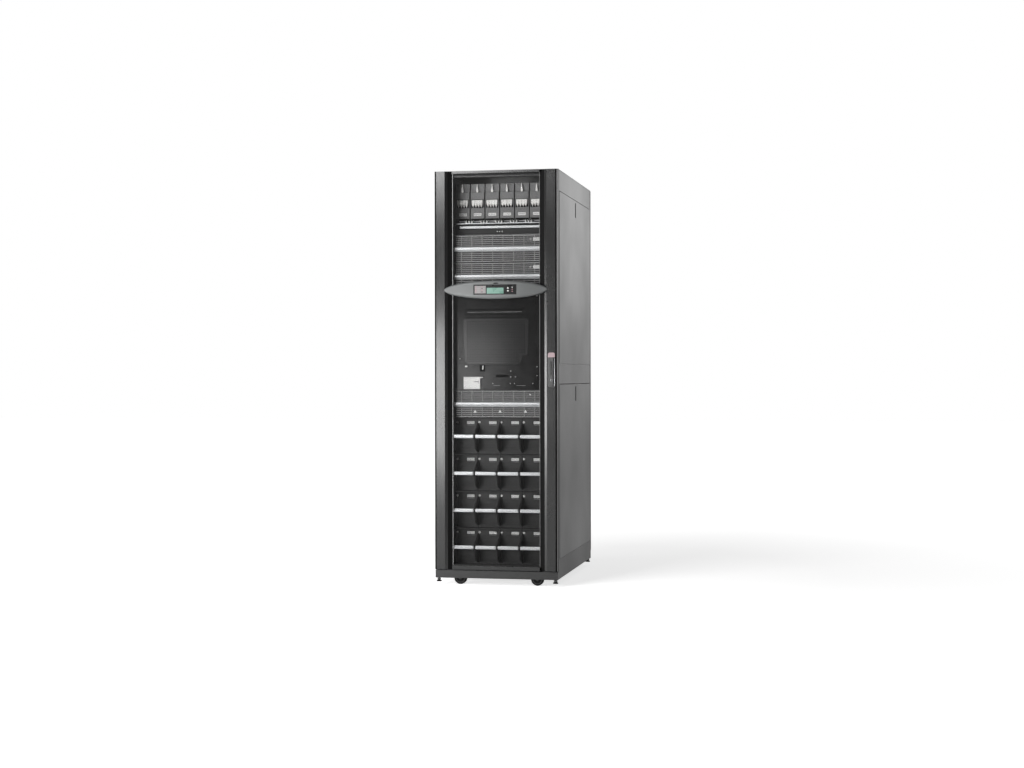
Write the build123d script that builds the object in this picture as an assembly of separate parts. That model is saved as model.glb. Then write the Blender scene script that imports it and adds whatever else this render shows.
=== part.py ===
from build123d import *
import os

# Modular UPS cabinet, as a named assembly. Millimetres, +Z up, front towards -Y.
# The origin is on the floor, at the middle of the overall box.

# Overall size
cabinet_width = 600.0
cabinet_depth = 1070.0
cabinet_height = 1991.0
rack_pitch = 44.45

# Sheet metal, gaps and the overrun of every cut
sheet = 1.5
heavy_sheet = 2.0
base_sheet = 3.0
seam_gap = 3.0
seat_gap = 0.3
running_gap = 0.05
overrun = 5.0

# Front to back
bezel_bulge = 15.0
door_depth = 20.0
door_gap = 8.0
rear_door_depth = 16.0
plinth_setback = 12.0
plinth_depth = 37.0
front_y = -cabinet_depth / 2
rear_y = cabinet_depth / 2
door_face_y = front_y + bezel_bulge
door_back_y = door_face_y + door_depth
frame_front_y = door_back_y + door_gap
frame_rear_y = rear_y - rear_door_depth
plinth_front_y = door_face_y + plinth_setback

# Bottom to top
floor_clearance = 36.0
plinth_height = 37.5
door_floor_gap = 4.5
door_roof_step = 3.0
lower_strip = 97.0
lower_panel_height = 832.0
mid_strip = 100.0
top_strip = 101.0
plinth_top = floor_clearance + plinth_height
base_top = plinth_top + base_sheet
door_low = plinth_top + door_floor_gap
door_top = cabinet_height - door_roof_step
roof_low = cabinet_height - heavy_sheet
lower_panel_low = floor_clearance + lower_strip
lower_panel_top = lower_panel_low + lower_panel_height
upper_panel_low = lower_panel_top + mid_strip
upper_panel_top = roof_low - top_strip

# Frame
post_width = 42.0
post_depth = 37.0
post_inset = 1.0
flange_width = 28.0
header_height = 28.0
panel_fold = 12.0
side_face = cabinet_width / 2
post_outer = side_face - post_inset
post_inner = post_outer - post_width
front_post_back_y = frame_front_y + post_depth
rear_post_front_y = frame_rear_y - post_depth
header_low = roof_low - header_height

# Latch of each side panel
latch_width = 22.0
latch_height = 74.0
latch_drop = 11.0
latch_depth = 16.0
latch_shift = 8.5
latch_lock = 13.0
latch_y = (front_post_back_y + rear_post_front_y) / 2 + latch_shift

# Rear doors
rear_door_parting = 3.0
rear_door_border = 24.0
rear_door_bar = 6.0
rear_columns = 2
rear_rows = 10

# Module bay
bay_margin = 36.0
bay_front_setback = 14.0
bay_rear_space = 72.0
bay_rise = 18.9
shelf_setback = 6.0
shelf_depth = 700.0
battery_units = 4
battery_rows = 4
battery_columns = 4
power_units = 3
top_void = 24.0
breaker_height = 193.5
tray_rise = 56.55
bay_half_width = post_inner - bay_margin
bay_front_y = frame_front_y + bay_front_setback
bay_rear_y = frame_rear_y - bay_rear_space
bay_low = base_top + bay_rise
battery_pitch = battery_units * rack_pitch
power_pitch = power_units * rack_pitch
battery_top = bay_low + battery_rows * battery_pitch
mid_low = battery_top + power_pitch
breaker_high = header_low - top_void
tray_top = breaker_high - breaker_height
power_top = tray_top - tray_rise
mid_top = power_top - 2 * power_pitch
power_lows = (battery_top, mid_top, mid_top + power_pitch)

# Battery modules
battery_side_play = 3.6
module_gap = 2.0
module_headroom = 1.2
module_depth = 610.0
battery_setback = 90.0
cheek_thick = 3.0
cheek_nose_setback = 8.0
cheek_knee_depth = 25.0
cheek_knee_drop = 58.0
cheek_rise = 62.0
cheek_fall = 80.0
column_pitch = (2 * bay_half_width - battery_side_play) / battery_columns
battery_face_y = door_back_y + battery_setback
cheek_nose_y = door_back_y + cheek_nose_setback
cheek_knee_y = cheek_nose_y + cheek_knee_depth

# Handle bars of the modules
bar_height = 17.0
bar_thick = 9.0
bar_side = 4.0
battery_bar_setback = 4.0
bar_post_width = 12.0
bar_post_height = 9.0
bar_reach = 12.0
bar_edge = 2.5

# Power modules
power_side_play = 4.0
power_setback = 34.0
power_louvre_depth = 6.0
power_border = 12.0
power_bar_height = 14.0
power_bar_lift = 2.0
power_bar_chin = 9.0
louvre_rows = 4
louvre_bar = 4.0
power_half_width = bay_half_width - power_side_play
power_face_y = door_back_y + power_setback

# Service panel between the power modules
service_setback = 42.0
service_depth = 560.0
slot_x = 20.0
slot_rise = 66.0
slot_width = 59.0
slot_height = 12.0
slot_depth = 20.0
vent_left_border = 49.0
vent_right_border = 70.0
vent_low_share = 0.154
vent_high_share = 0.675
vent_proud = 3.0
vent_rows = 4
vent_columns = 2
vent_bar = 4.0
vent_edge = 8.0
box_left_border = 53.0
box_width = 82.0
box_rise = 3.0
box_height = 59.0
box_proud = 12.0
box_lip = 13.0
box_lip_height = 6.0
service_face_y = door_back_y + service_setback
service_top = mid_top - heavy_sheet - module_headroom

# Distribution unit
breaker_count = 6
breaker_side_play = 4.0
breaker_gap = 5.0
breaker_setback = 90.0
breaker_depth = 380.0
breaker_brow = 8.0
breaker_brow_height = 39.0
breaker_lip_height = 16.0
tray_reach = 36.0
tray_lip = 6.0
apron_reach = 14.0
toggle_rise = 77.2
toggle_height = 36.4
toggle_width = 54.0
toggle_proud = 14.0
toggle_count = 4
toggle_notch = 8.0
pointer_rise = 151.5
pointer_height = 40.0
pointer_width = 11.0
pointer_proud = 4.0
pointer_tip_share = 0.3
cable_bar_drop = 19.0
cable_bar_height = 13.0
cable_bar_left_gap = 26.0
cable_bar_right_gap = 7.0
breaker_pitch = (2 * bay_half_width - breaker_side_play) / breaker_count
breaker_face_y = door_back_y + breaker_setback
tray_front_y = breaker_face_y - tray_reach
apron_y = breaker_face_y - apron_reach
toggle_low = tray_top + toggle_rise

# Front door
door_inset = 2.0
stile_flat = 49.4
chamfer_run = 12.1
band_run = 22.9
chamfer_drop = 9.0
band_drop = 15.0
door_edge_radius = 4.0
door_top_rail = 13.0
door_low_rail = 18.0
mesh_sheet = 1.5
mesh_columns = 5
mesh_rows = 11
mesh_bar = 5.0
mesh_border = 9.0
door_side = side_face - door_inset
stile_ridge = door_side - stile_flat
stile_foot = stile_ridge - chamfer_run
window_half = stile_foot - band_run
mesh_y = door_face_y + band_drop + heavy_sheet

# Door hinges
hinge_edge = 7.0
hinge_back = 7.0
hinge_height_shares = (0.09, 0.5, 0.9)
hinge_pin_radius = 2.5
hinge_ear_thick = 4.0
hinge_ear_half_width = 4.0
hinge_eye_height = 14.0
hinge_eye_radius = 4.8
hinge_slot_clear = 3.0
hinge_x = -door_side + hinge_edge
hinge_y = door_back_y - hinge_back
hinge_heights = [door_low + share * (door_top - door_low)
                 for share in hinge_height_shares]

# Display bezel on the door
bezel_overlap = 36.4
bezel_half_height = 43.9
bezel_drop = 570.0
bezel_tip_drop = 12.5
display_half_width = 104.5
display_half_height = 24.0
display_depth = 12.0
display_proud = 0.8
screen_left = -39.0
screen_right = 43.0
screen_fall = 20.0
screen_rise = 8.5
screen_depth = 2.5
screen_sunk = 1.2
arrow_key_x = 64.0
arrow_key_width = 12.0
arrow_key_pitch = 15.0
side_key_x = 85.0
side_key_width = 9.0
side_key_pitch = 10.0
key_height = 6.0
key_proud = 0.6
bezel_half_width = window_half + bezel_overlap
bezel_z = door_top - bezel_drop
bezel_front_y = front_y + display_proud

# Door handle
handle_offset = 23.4
handle_rise = 874.0
handle_height = 164.5
handle_plate_width = 34.0
handle_plate_proud = 1.5
handle_plate_corner = 5.0
badge_height = 22.0
badge_proud = 3.0
trim_width = 3.0
trim_proud = 2.5
trim_inset = 0.5
hub_radius = 9.0
hub_height = 3.2
lever_lift = 6.0
lever_length = 129.5
lever_width = 20.0
lever_thick = 6.0
lever_gap = 0.4
lever_round_share = 0.45
lever_pin_radius = 1.6
lug_width = 10.0
lug_half_height = 3.0
handle_x = stile_ridge + handle_offset
handle_low = door_low + handle_rise
handle_high = handle_low + handle_height
lever_low = handle_low + lever_lift
lever_high = lever_low + lever_length
hub_z = lever_high - lever_thick / 2
plate_face_y = door_face_y - handle_plate_proud
hub_back_y = plate_face_y - seat_gap
lever_pin_y = hub_back_y - hub_height - lever_gap - lever_thick / 2

# Levelling feet
foot_inset = 14.0
foot_front_inset = 18.0
foot_rear_inset = 19.0
foot_radius = 13.0
foot_low = 17.0
foot_pad = 8.0
foot_pad_sides = 12
foot_stem_radius = 6.0
foot_stem_sides = 6
foot_x = post_outer - foot_inset
foot_front_y = plinth_front_y + foot_front_inset
foot_rear_y = frame_rear_y - foot_rear_inset

# Casters
wheel_radius = 31.0
wheel_width = 24.0
axle_radius = 4.0
caster_trail = 22.0
caster_side_inset = 89.0
caster_front_inset = 68.0
caster_rear_inset = 79.0
fork_leg = 3.0
fork_side_gap = 2.0
fork_crown = 4.0
fork_leg_width = 18.0
fork_tip_share = 0.6
kingpin_radius = 6.0
caster_plate_thick = 3.0
caster_plate_width = 70.0
caster_plate_length = 58.0
caster_x = side_face - caster_side_inset
caster_front_y = plinth_front_y + caster_front_inset
caster_rear_y = frame_rear_y - caster_rear_inset


def block(x0, x1, y0, y1, z0, z1):
    """A box between two corners."""
    middle = Pos((x0 + x1) / 2, (y0 + y1) / 2, (z0 + z1) / 2)
    return middle * Box(x1 - x0, y1 - y0, z1 - z0)


def prism_up(points, z0, z1):
    """An outline in plan, raised from z0 to z1."""
    outline = make_face(Polyline(*points, close=True))
    return Pos(0, 0, z0) * extrude(outline, z1 - z0, dir=(0, 0, 1))


def prism_back(points, y0, y1):
    """An outline in X and Z seen from the front, extended from y0 back to y1."""
    outline = make_face(Polyline(*[(x, y0, z) for x, z in points], close=True))
    return extrude(outline, y1 - y0, dir=(0, 1, 0))


def prism_across(points, x0, x1):
    """An outline in Y and Z seen from the side, extended from x0 to x1."""
    outline = make_face(Polyline(*[(x0, y, z) for y, z in points], close=True))
    return extrude(outline, x1 - x0, dir=(1, 0, 0))


def disc_along_y(x, y0, y1, z, radius):
    """A round bar along Y."""
    turned = Rot(90, 0, 0) * Cylinder(radius, y1 - y0)
    return Pos(x, (y0 + y1) / 2, z) * turned


def disc_along_x(x0, x1, y, z, radius):
    """A round bar along X."""
    turned = Rot(0, 90, 0) * Cylinder(radius, x1 - x0)
    return Pos((x0 + x1) / 2, y, z) * turned


def disc_along_z(x, y, z0, z1, radius):
    """A round bar along Z."""
    return Pos(x, y, (z0 + z1) / 2) * Cylinder(radius, z1 - z0)


def across(shape):
    """The same shape on the other side of the middle plane."""
    return shape.mirror(Plane.YZ)


def pair(shape):
    """A shape and its mirror image."""
    return [shape, across(shape)]


def lattice(x0, x1, y0, y1, z0, z1, columns, rows, bar):
    """The openings of a grille: rows and columns of blocks with a bar between."""
    width = (x1 - x0 - bar * (columns - 1)) / columns
    height = (z1 - z0 - bar * (rows - 1)) / rows
    cells = []
    for column in range(columns):
        for row in range(rows):
            left = x0 + column * (width + bar)
            low = z0 + row * (height + bar)
            cells.append(block(left, left + width, y0, y1, low, low + height))
    return cells


# Base


def plinth(wall_y0, wall_y1, flange_y0, flange_y1):
    """A folded pan: a wall, a flange along its top and a return at each end."""
    wall = block(-post_outer, post_outer, wall_y0, wall_y1, floor_clearance, plinth_top)
    flange = block(-post_outer, post_outer, flange_y0, flange_y1,
                   plinth_top - sheet, plinth_top)
    pan = wall + flange
    for end in pair(block(post_outer - sheet, post_outer, flange_y0, flange_y1,
                          floor_clearance, plinth_top)):
        pan += end
    return pan


def panel_ledge(top):
    """The rib behind the seam that a side panel stands on."""
    return block(post_outer - panel_fold, post_outer - sheet, front_post_back_y,
                 rear_post_front_y, top - seam_gap, top)


def base_sill():
    y0 = plinth_front_y + plinth_depth
    y1 = frame_rear_y - plinth_depth
    wall = block(post_outer - sheet, post_outer, y0, y1, floor_clearance, plinth_top)
    flange = block(post_outer - flange_width, post_outer, y0, y1,
                   plinth_top - sheet, plinth_top)
    skirt = block(post_outer - sheet, post_outer, front_post_back_y, rear_post_front_y,
                  plinth_top - sheet, lower_panel_low - seam_gap)
    top = block(post_outer - panel_fold, post_outer, front_post_back_y,
                rear_post_front_y, lower_panel_low - seam_gap - sheet,
                lower_panel_low - seam_gap)
    return wall + flange + skirt + top + panel_ledge(lower_panel_low)


def corner_post(y0):
    outer = block(post_inner, post_outer, y0, y0 + post_depth, plinth_top, roof_low)
    hollow = block(post_inner + heavy_sheet, post_outer - heavy_sheet,
                   y0 + heavy_sheet, y0 + post_depth - heavy_sheet,
                   plinth_top - overrun, roof_low + overrun)
    return outer - hollow


def foot(y):
    """A twelve-sided pad and a hexagonal stem up to the plinth."""
    pad = extrude(RegularPolygon(foot_radius, foot_pad_sides), foot_pad)
    stem = extrude(RegularPolygon(foot_stem_radius, foot_stem_sides),
                   plinth_top - sheet - foot_low)
    return Pos(foot_x, y, foot_low) * (pad + stem)


# Roof and sides


def header(y0):
    return block(-post_inner, post_inner, y0, y0 + post_depth, header_low, roof_low)


def top_rail():
    y0 = front_post_back_y
    y1 = rear_post_front_y
    wall = block(post_outer - sheet, post_outer, y0, y1,
                 upper_panel_top + seam_gap, roof_low)
    flange = block(post_outer - flange_width, post_outer, y0, y1,
                   roof_low - sheet, roof_low)
    return wall + flange


def mid_rail():
    y0 = front_post_back_y
    y1 = rear_post_front_y
    outer = block(post_outer - panel_fold, post_outer, y0, y1,
                  lower_panel_top + seam_gap, upper_panel_low - seam_gap)
    hollow = block(post_outer - panel_fold - overrun, post_outer - sheet,
                   y0 - overrun, y1 + overrun,
                   lower_panel_top + seam_gap + sheet,
                   upper_panel_low - seam_gap - sheet)
    return (outer - hollow) + panel_ledge(upper_panel_low)


def latch_opening(panel_top, clear):
    return block(side_face - latch_depth - overrun, side_face + overrun,
                 latch_y - latch_width / 2 - clear, latch_y + latch_width / 2 + clear,
                 panel_top - latch_drop - latch_height - clear,
                 panel_top - latch_drop + clear)


def side_panel(z0, z1):
    y0 = front_post_back_y + seam_gap / 2
    y1 = rear_post_front_y - seam_gap / 2
    outer = block(side_face - panel_fold, side_face, y0, y1, z0, z1)
    hollow = block(side_face - panel_fold - overrun, side_face - sheet,
                   y0 + sheet, y1 - sheet, z0 + sheet, z1 - sheet)
    return outer - hollow - latch_opening(z1, 0)


def panel_latch(panel_top):
    high = panel_top - latch_drop
    low = high - latch_height
    y0 = latch_y - latch_width / 2
    y1 = latch_y + latch_width / 2
    cup = block(side_face - latch_depth, side_face - sheet / 2, y0, y1, low, high)
    dish = block(side_face - latch_depth + heavy_sheet, side_face + overrun,
                 y0 + heavy_sheet, y1 - heavy_sheet,
                 low + heavy_sheet, high - heavy_sheet)
    lock = block(side_face - latch_depth, side_face - heavy_sheet,
                 latch_y - latch_lock / 2, latch_y + latch_lock / 2,
                 high - heavy_sheet - latch_lock, high - heavy_sheet)
    return (cup - dish) + lock


def rear_door():
    x0 = rear_door_parting / 2
    z0 = door_low
    z1 = door_top
    outer = block(x0, door_side, frame_rear_y, rear_y, z0, z1)
    hollow = block(x0 + sheet, door_side - sheet,
                   frame_rear_y - overrun, rear_y - sheet,
                   z0 + sheet, z1 - sheet)
    openings = lattice(x0 + rear_door_border, door_side - rear_door_border,
                       rear_y - sheet - overrun, rear_y + overrun,
                       z0 + rear_door_border, z1 - rear_door_border,
                       rear_columns, rear_rows, rear_door_bar)
    return outer - hollow - openings


# Module bay


def bay_wall():
    wall = block(bay_half_width, bay_half_width + heavy_sheet, bay_front_y, bay_rear_y,
                 base_top, header_low)
    flange = block(bay_half_width, post_inner, bay_front_y, bay_front_y + heavy_sheet,
                   base_top, header_low)
    return wall + flange


def bay_shelf(top):
    y0 = bay_front_y + shelf_setback
    return block(-bay_half_width, bay_half_width, y0, y0 + shelf_depth,
                 top - heavy_sheet, top)


def battery_cheek(half, middle):
    """The wing at the right of the face, which carries an end of the handle bar."""
    points = [(battery_face_y, middle + cheek_rise),
              (cheek_nose_y, middle + bar_height / 2),
              (cheek_nose_y, middle - bar_height / 2),
              (cheek_knee_y, middle - cheek_knee_drop),
              (battery_face_y, middle - cheek_fall)]
    return prism_across(points, half - cheek_thick, half)


def battery_module(low):
    """A long case whose face stands back between two wings."""
    high = low + battery_pitch - heavy_sheet - module_headroom
    half = (column_pitch - module_gap) / 2
    case = block(-half, half, battery_face_y, battery_face_y + module_depth, low, high)
    cheek = battery_cheek(half, (low + high) / 2)
    return case + cheek + across(cheek)


def bevelled_bar(half, y0, z, height):
    """A bar with bevelled front edges."""
    bar = block(-half, half, y0, y0 + bar_thick, z - height / 2, z + height / 2)
    front = bar.edges().filter_by(Axis.X).group_by(Axis.Y)[0]
    return chamfer(front, bar_edge)


def handle_bar(half, face_y, z, height):
    """A bevelled bar on two stand-offs from the face."""
    y0 = face_y - bar_reach
    bar = bevelled_bar(half, y0, z, height)
    for side in (-1, 1):
        middle = side * (half - 2 * bar_post_width)
        bar += block(middle - bar_post_width / 2, middle + bar_post_width / 2,
                     y0 + bar_thick / 2, face_y,
                     z - bar_post_height / 2, z + bar_post_height / 2)
    return bar


def column_places():
    first = -column_pitch * (battery_columns - 1) / 2
    return [first + column_pitch * column for column in range(battery_columns)]


def battery_row(row):
    module = battery_module(bay_low + row * battery_pitch)
    return [Pos(x, 0, 0) * module for x in column_places()]


def battery_bars():
    """The handle bars, each held between the wings of its module."""
    bars = []
    half = (column_pitch - module_gap) / 2 - cheek_thick - seat_gap
    y0 = door_back_y + battery_bar_setback
    for row in range(battery_rows):
        low = bay_low + row * battery_pitch
        middle = low + (battery_pitch - heavy_sheet - module_headroom) / 2
        bar = bevelled_bar(half, y0, middle, bar_height)
        bars.extend([Pos(x, 0, 0) * bar for x in column_places()])
    return bars


def power_module(low):
    """A closed case with a bank of louvres above and below its handle bar."""
    high = low + power_pitch - heavy_sheet - module_headroom
    middle = (low + high) / 2
    case = block(-power_half_width, power_half_width, power_face_y,
                 power_face_y + module_depth, low, high)
    inner = power_half_width - power_border
    for z0, z1 in ((low + power_border / 2, middle - power_bar_height / 2),
                   (middle + power_bar_height / 2, high - power_border / 2)):
        case = case - lattice(-inner, inner, power_face_y - overrun,
                              power_face_y + power_louvre_depth, z0, z1,
                              1, louvre_rows, louvre_bar)
    return case


def power_bar(middle):
    """A bar on stand-offs, with a chin that slopes back from its face."""
    half = power_half_width - bar_side
    z = middle + power_bar_lift
    y0 = power_face_y - bar_reach
    y1 = y0 + bar_thick
    shoulder = z - power_bar_height / 2 + bar_edge
    chin = prism_across([(y0, shoulder), (y1, shoulder),
                         (y1, shoulder - bar_edge - power_bar_chin)], -half, half)
    return handle_bar(half, power_face_y, z, power_bar_height) + chin


def power_bars():
    headroom = heavy_sheet + module_headroom
    return [power_bar(low + (power_pitch - headroom) / 2) for low in power_lows]


# Service panel


def service_chassis():
    case = block(-power_half_width, power_half_width, service_face_y,
                 service_face_y + service_depth, mid_low, service_top)
    middle = mid_low + slot_rise
    slot = block(slot_x - slot_width / 2, slot_x + slot_width / 2,
                 service_face_y - overrun, service_face_y + slot_depth,
                 middle - slot_height / 2, middle + slot_height / 2)
    return case - slot


def service_vent():
    """The perforated plate on the service panel."""
    left = -bay_half_width + vent_left_border
    right = bay_half_width - vent_right_border
    box_top = mid_low + box_rise + box_height
    low = box_top + vent_low_share * (service_top - box_top)
    high = box_top + vent_high_share * (service_top - box_top)
    plate = block(left, right, service_face_y - vent_proud, service_face_y, low, high)
    openings = lattice(left + vent_edge, right - vent_edge,
                       service_face_y - vent_proud - overrun, service_face_y + overrun,
                       low + vent_edge, high - vent_edge,
                       vent_columns, vent_rows, vent_bar)
    return plate - openings


def service_box():
    left = -bay_half_width + box_left_border
    right = left + box_width
    low = mid_low + box_rise
    high = low + box_height
    case = block(left, right, service_face_y - box_proud, service_face_y, low, high)
    lip = block(left, right + box_lip, service_face_y - box_proud, service_face_y,
                high - box_lip_height, high)
    return case + lip


# Distribution unit


def breaker_places():
    first = -breaker_pitch * (breaker_count - 1) / 2
    return [first + breaker_pitch * place for place in range(breaker_count)]


def breaker_module():
    half = (breaker_pitch - breaker_gap) / 2
    case = block(-half, half, breaker_face_y, breaker_face_y + breaker_depth,
                 tray_top, breaker_high)
    brow = block(-half, half, breaker_face_y - breaker_brow, breaker_face_y,
                 toggle_low + toggle_height, toggle_low + toggle_height + breaker_brow_height)
    lip = block(-half, half, breaker_face_y - breaker_brow, breaker_face_y,
                tray_top, tray_top + breaker_lip_height)
    return case + brow + lip


def breaker_toggle():
    """Four toggles side by side, with a notched lower edge."""
    half = toggle_width / 2
    high = toggle_low + toggle_height
    step = toggle_width / toggle_count
    points = [(half, high), (-half, high)]
    for place in range(toggle_count):
        left = -half + place * step
        points.append((left, toggle_low + toggle_notch))
        points.append((left + step / 2, toggle_low))
    points.append((half, toggle_low + toggle_notch))
    return prism_back(points, breaker_face_y - toggle_proud, breaker_face_y)


def breaker_pointer():
    half = pointer_width / 2
    tip = half * pointer_tip_share
    face = breaker_face_y - breaker_brow
    low = tray_top + pointer_rise
    points = [(-half, low), (half, low),
              (tip, low + pointer_height), (-tip, low + pointer_height)]
    return prism_back(points, face - pointer_proud, face)


def breaker_tray():
    shelf = block(-bay_half_width, bay_half_width, tray_front_y,
                  breaker_face_y + breaker_depth, tray_top - base_sheet, tray_top)
    lip = block(-bay_half_width, bay_half_width, tray_front_y,
                tray_front_y + heavy_sheet, tray_top - tray_lip, tray_top)
    apron = block(-bay_half_width, bay_half_width, apron_y, apron_y + heavy_sheet,
                  power_top + seam_gap, tray_top)
    return shelf + lip + apron


def cable_bar():
    left = -bay_half_width + cable_bar_left_gap
    right = bay_half_width - cable_bar_right_gap
    bar = handle_bar((right - left) / 2, apron_y, tray_top - cable_bar_drop,
                     cable_bar_height)
    return Pos((left + right) / 2, 0, 0) * bar


# Front door


def stile_outline(grow):
    """The right stile's face: flat, a chamfer, then a band that slopes inwards."""
    return [(door_side - grow, door_back_y + grow),
            (door_side - grow, door_face_y + grow),
            (stile_ridge, door_face_y + grow),
            (stile_foot, door_face_y + chamfer_drop + grow),
            (window_half + grow, door_face_y + band_drop + grow)]


def door_stile():
    face = stile_outline(0)
    inside = stile_outline(heavy_sheet)
    lip_y = door_face_y + band_drop + heavy_sheet
    outer = prism_up(face + [(window_half, lip_y), (stile_foot, lip_y),
                             (stile_foot, door_back_y)], door_low, door_top)
    edge = outer.edges().filter_by(Axis.Z).sort_by(Axis.X)[-2:].sort_by(Axis.Y)[0]
    outer = fillet(edge, door_edge_radius)
    hollow = prism_up([(door_side - heavy_sheet, door_back_y + overrun),
                       (door_side - heavy_sheet, door_face_y + heavy_sheet),
                       (stile_ridge, door_face_y + heavy_sheet),
                       (stile_foot + heavy_sheet,
                        door_face_y + chamfer_drop + heavy_sheet),
                       (stile_foot + heavy_sheet, door_back_y + overrun)],
                      door_low + heavy_sheet, door_top - heavy_sheet)
    return outer - hollow


def door_rail(z0, z1, flange_low):
    outer = block(-window_half, window_half, door_face_y, door_back_y, z0, z1)
    hollow = block(-window_half - overrun, window_half + overrun,
                   door_face_y + heavy_sheet, door_back_y + overrun,
                   z0 + heavy_sheet, z1 - heavy_sheet)
    lip = block(-window_half, window_half, mesh_y, door_back_y + overrun,
                z0 - overrun if flange_low else z1 - heavy_sheet,
                z0 + heavy_sheet if flange_low else z1 + overrun)
    return outer - hollow - lip


def door_mesh():
    z0 = door_low + door_low_rail - heavy_sheet
    z1 = door_top - door_top_rail + heavy_sheet
    half = window_half + mesh_border
    sheet_metal = block(-half, half, mesh_y, mesh_y + mesh_sheet, z0, z1)
    openings = lattice(-window_half + mesh_bar, window_half - mesh_bar,
                       mesh_y - overrun, mesh_y + mesh_sheet + overrun,
                       z0 + mesh_border, z1 - mesh_border,
                       mesh_columns, mesh_rows, mesh_bar)
    return sheet_metal - openings


def hinge_slot(z):
    """The slot in the left stile's return that the frame's ear passes through."""
    low = z - hinge_ear_thick - hinge_slot_clear
    return block(-door_side - overrun, -door_side + heavy_sheet + overrun / 2,
                 door_face_y + door_edge_radius, door_back_y + overrun,
                 low, z + hinge_slot_clear)


def hinge_eye(z):
    """The door's eye, which turns on the pin just above the ear."""
    low = z + seat_gap
    high = low + hinge_eye_height
    eye = disc_along_z(hinge_x, hinge_y, low, high, hinge_eye_radius)
    root = block(hinge_x - hinge_edge + heavy_sheet, hinge_x + hinge_eye_radius,
                 door_face_y + heavy_sheet, hinge_y, low, high)
    bore = disc_along_z(hinge_x, hinge_y, low - overrun, high + overrun,
                        hinge_pin_radius + running_gap)
    return eye + root - bore


def hinge_ear(z):
    """The frame's ear with its pin, in front of the left post."""
    low = z - hinge_ear_thick
    arm = block(hinge_x - hinge_ear_half_width, hinge_x + hinge_ear_half_width,
                hinge_y, frame_front_y, low, z)
    tip = disc_along_z(hinge_x, hinge_y, low, z, hinge_ear_half_width)
    pin = disc_along_z(hinge_x, hinge_y, low, z + hinge_eye_height, hinge_pin_radius)
    return arm + tip + pin


# Display bezel


def bow_plan(front, back_y):
    """A bowed front in plan, from the middle to both tips."""
    arc = ThreePointArc((-bezel_half_width, front + bezel_tip_drop), (0, front),
                        (bezel_half_width, front + bezel_tip_drop))
    sides = Polyline((bezel_half_width, front + bezel_tip_drop),
                     (bezel_half_width, back_y), (-bezel_half_width, back_y),
                     (-bezel_half_width, front + bezel_tip_drop))
    return make_face([arc, sides])


def bowed_slab(front, back_y, z0, z1):
    return Pos(0, 0, z0) * extrude(bow_plan(front, back_y), z1 - z0, dir=(0, 0, 1))


def display_pocket():
    """The room for the display in the middle of the bezel."""
    return block(-display_half_width, display_half_width, front_y - overrun,
                 front_y + display_depth,
                 bezel_z - display_half_height, bezel_z + display_half_height)


def stile_cover():
    """The whole space that the right stile fills, without its hollow."""
    points = stile_outline(0) + [(window_half, door_back_y + overrun),
                                 (door_side, door_back_y + overrun)]
    return prism_up(points, door_low, door_top)


def display_bezel():
    """An oval cap with a bowed front, across the mesh from stile to stile."""
    facing = Plane((0, front_y, bezel_z), x_dir=(1, 0, 0), z_dir=(0, -1, 0))
    oval = facing * Ellipse(bezel_half_width, bezel_half_height)
    body = extrude(oval, mesh_y - front_y, dir=(0, 1, 0))
    slab = bowed_slab(bezel_front_y, mesh_y, bezel_z - bezel_half_height,
                      bezel_z + bezel_half_height)
    cap = body & slab
    for stile in pair(stile_cover()):
        cap -= stile
    return cap - display_pocket()


def screen_block(y0):
    return block(screen_left, screen_right, y0, front_y + screen_depth,
                 bezel_z - screen_fall, bezel_z + screen_rise)


def display_panel():
    slab = bowed_slab(front_y, front_y + display_depth + overrun,
                      bezel_z - bezel_half_height, bezel_z + bezel_half_height)
    return (slab & display_pocket()) - screen_block(front_y - overrun)


def display_screen():
    return screen_block(front_y + screen_sunk)


def display_keys():
    """Two arrow keys, one above the other, and three small keys beside them."""
    places = [(arrow_key_x, arrow_key_width, rise * arrow_key_pitch)
              for rise in (-0.5, 0.5)]
    places += [(side_key_x, side_key_width, rise * side_key_pitch)
               for rise in (-1, 0, 1)]
    panel = display_panel()
    keys = []
    for x, width, rise in places:
        bow = bezel_tip_drop * (x / bezel_half_width) ** 2
        z = bezel_z + rise
        key = block(x - width / 2, x + width / 2,
                    front_y + bow - key_proud, front_y + bow + key_proud,
                    z - key_height / 2, z + key_height / 2)
        keys.append(key - panel)
    return keys


# Door handle


def handle_plate():
    """The escutcheon that the hub turns on, with a block above and a trim strip."""
    half = handle_plate_width / 2
    plate = block(handle_x - half, handle_x + half, plate_face_y, door_face_y,
                  handle_low, handle_high)
    plate = chamfer(plate.edges().filter_by(Axis.Y), handle_plate_corner)
    badge = block(handle_x - half, handle_x + half, plate_face_y - badge_proud,
                  plate_face_y, handle_high - badge_height, handle_high)
    badge = chamfer(badge.edges().filter_by(Axis.Y).group_by(Axis.Z)[-1],
                    handle_plate_corner)
    trim_right = handle_x + half - trim_inset
    trim = block(trim_right - trim_width, trim_right, plate_face_y - trim_proud,
                 plate_face_y, lever_low, lever_high)
    return plate + badge + trim


def handle_hub():
    """The hub turns on the escutcheon and carries the lever's pin on a lug."""
    disc = disc_along_y(handle_x, hub_back_y - hub_height, hub_back_y, hub_z, hub_radius)
    lug = block(handle_x - lug_width / 2, handle_x + lug_width / 2,
                lever_pin_y - lever_pin_radius, hub_back_y,
                hub_z - lug_half_height, hub_z + lug_half_height)
    pin = disc_along_x(handle_x - lever_width / 2, handle_x + lever_width / 2,
                       lever_pin_y, hub_z, lever_pin_radius)
    return disc + lug + pin


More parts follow.
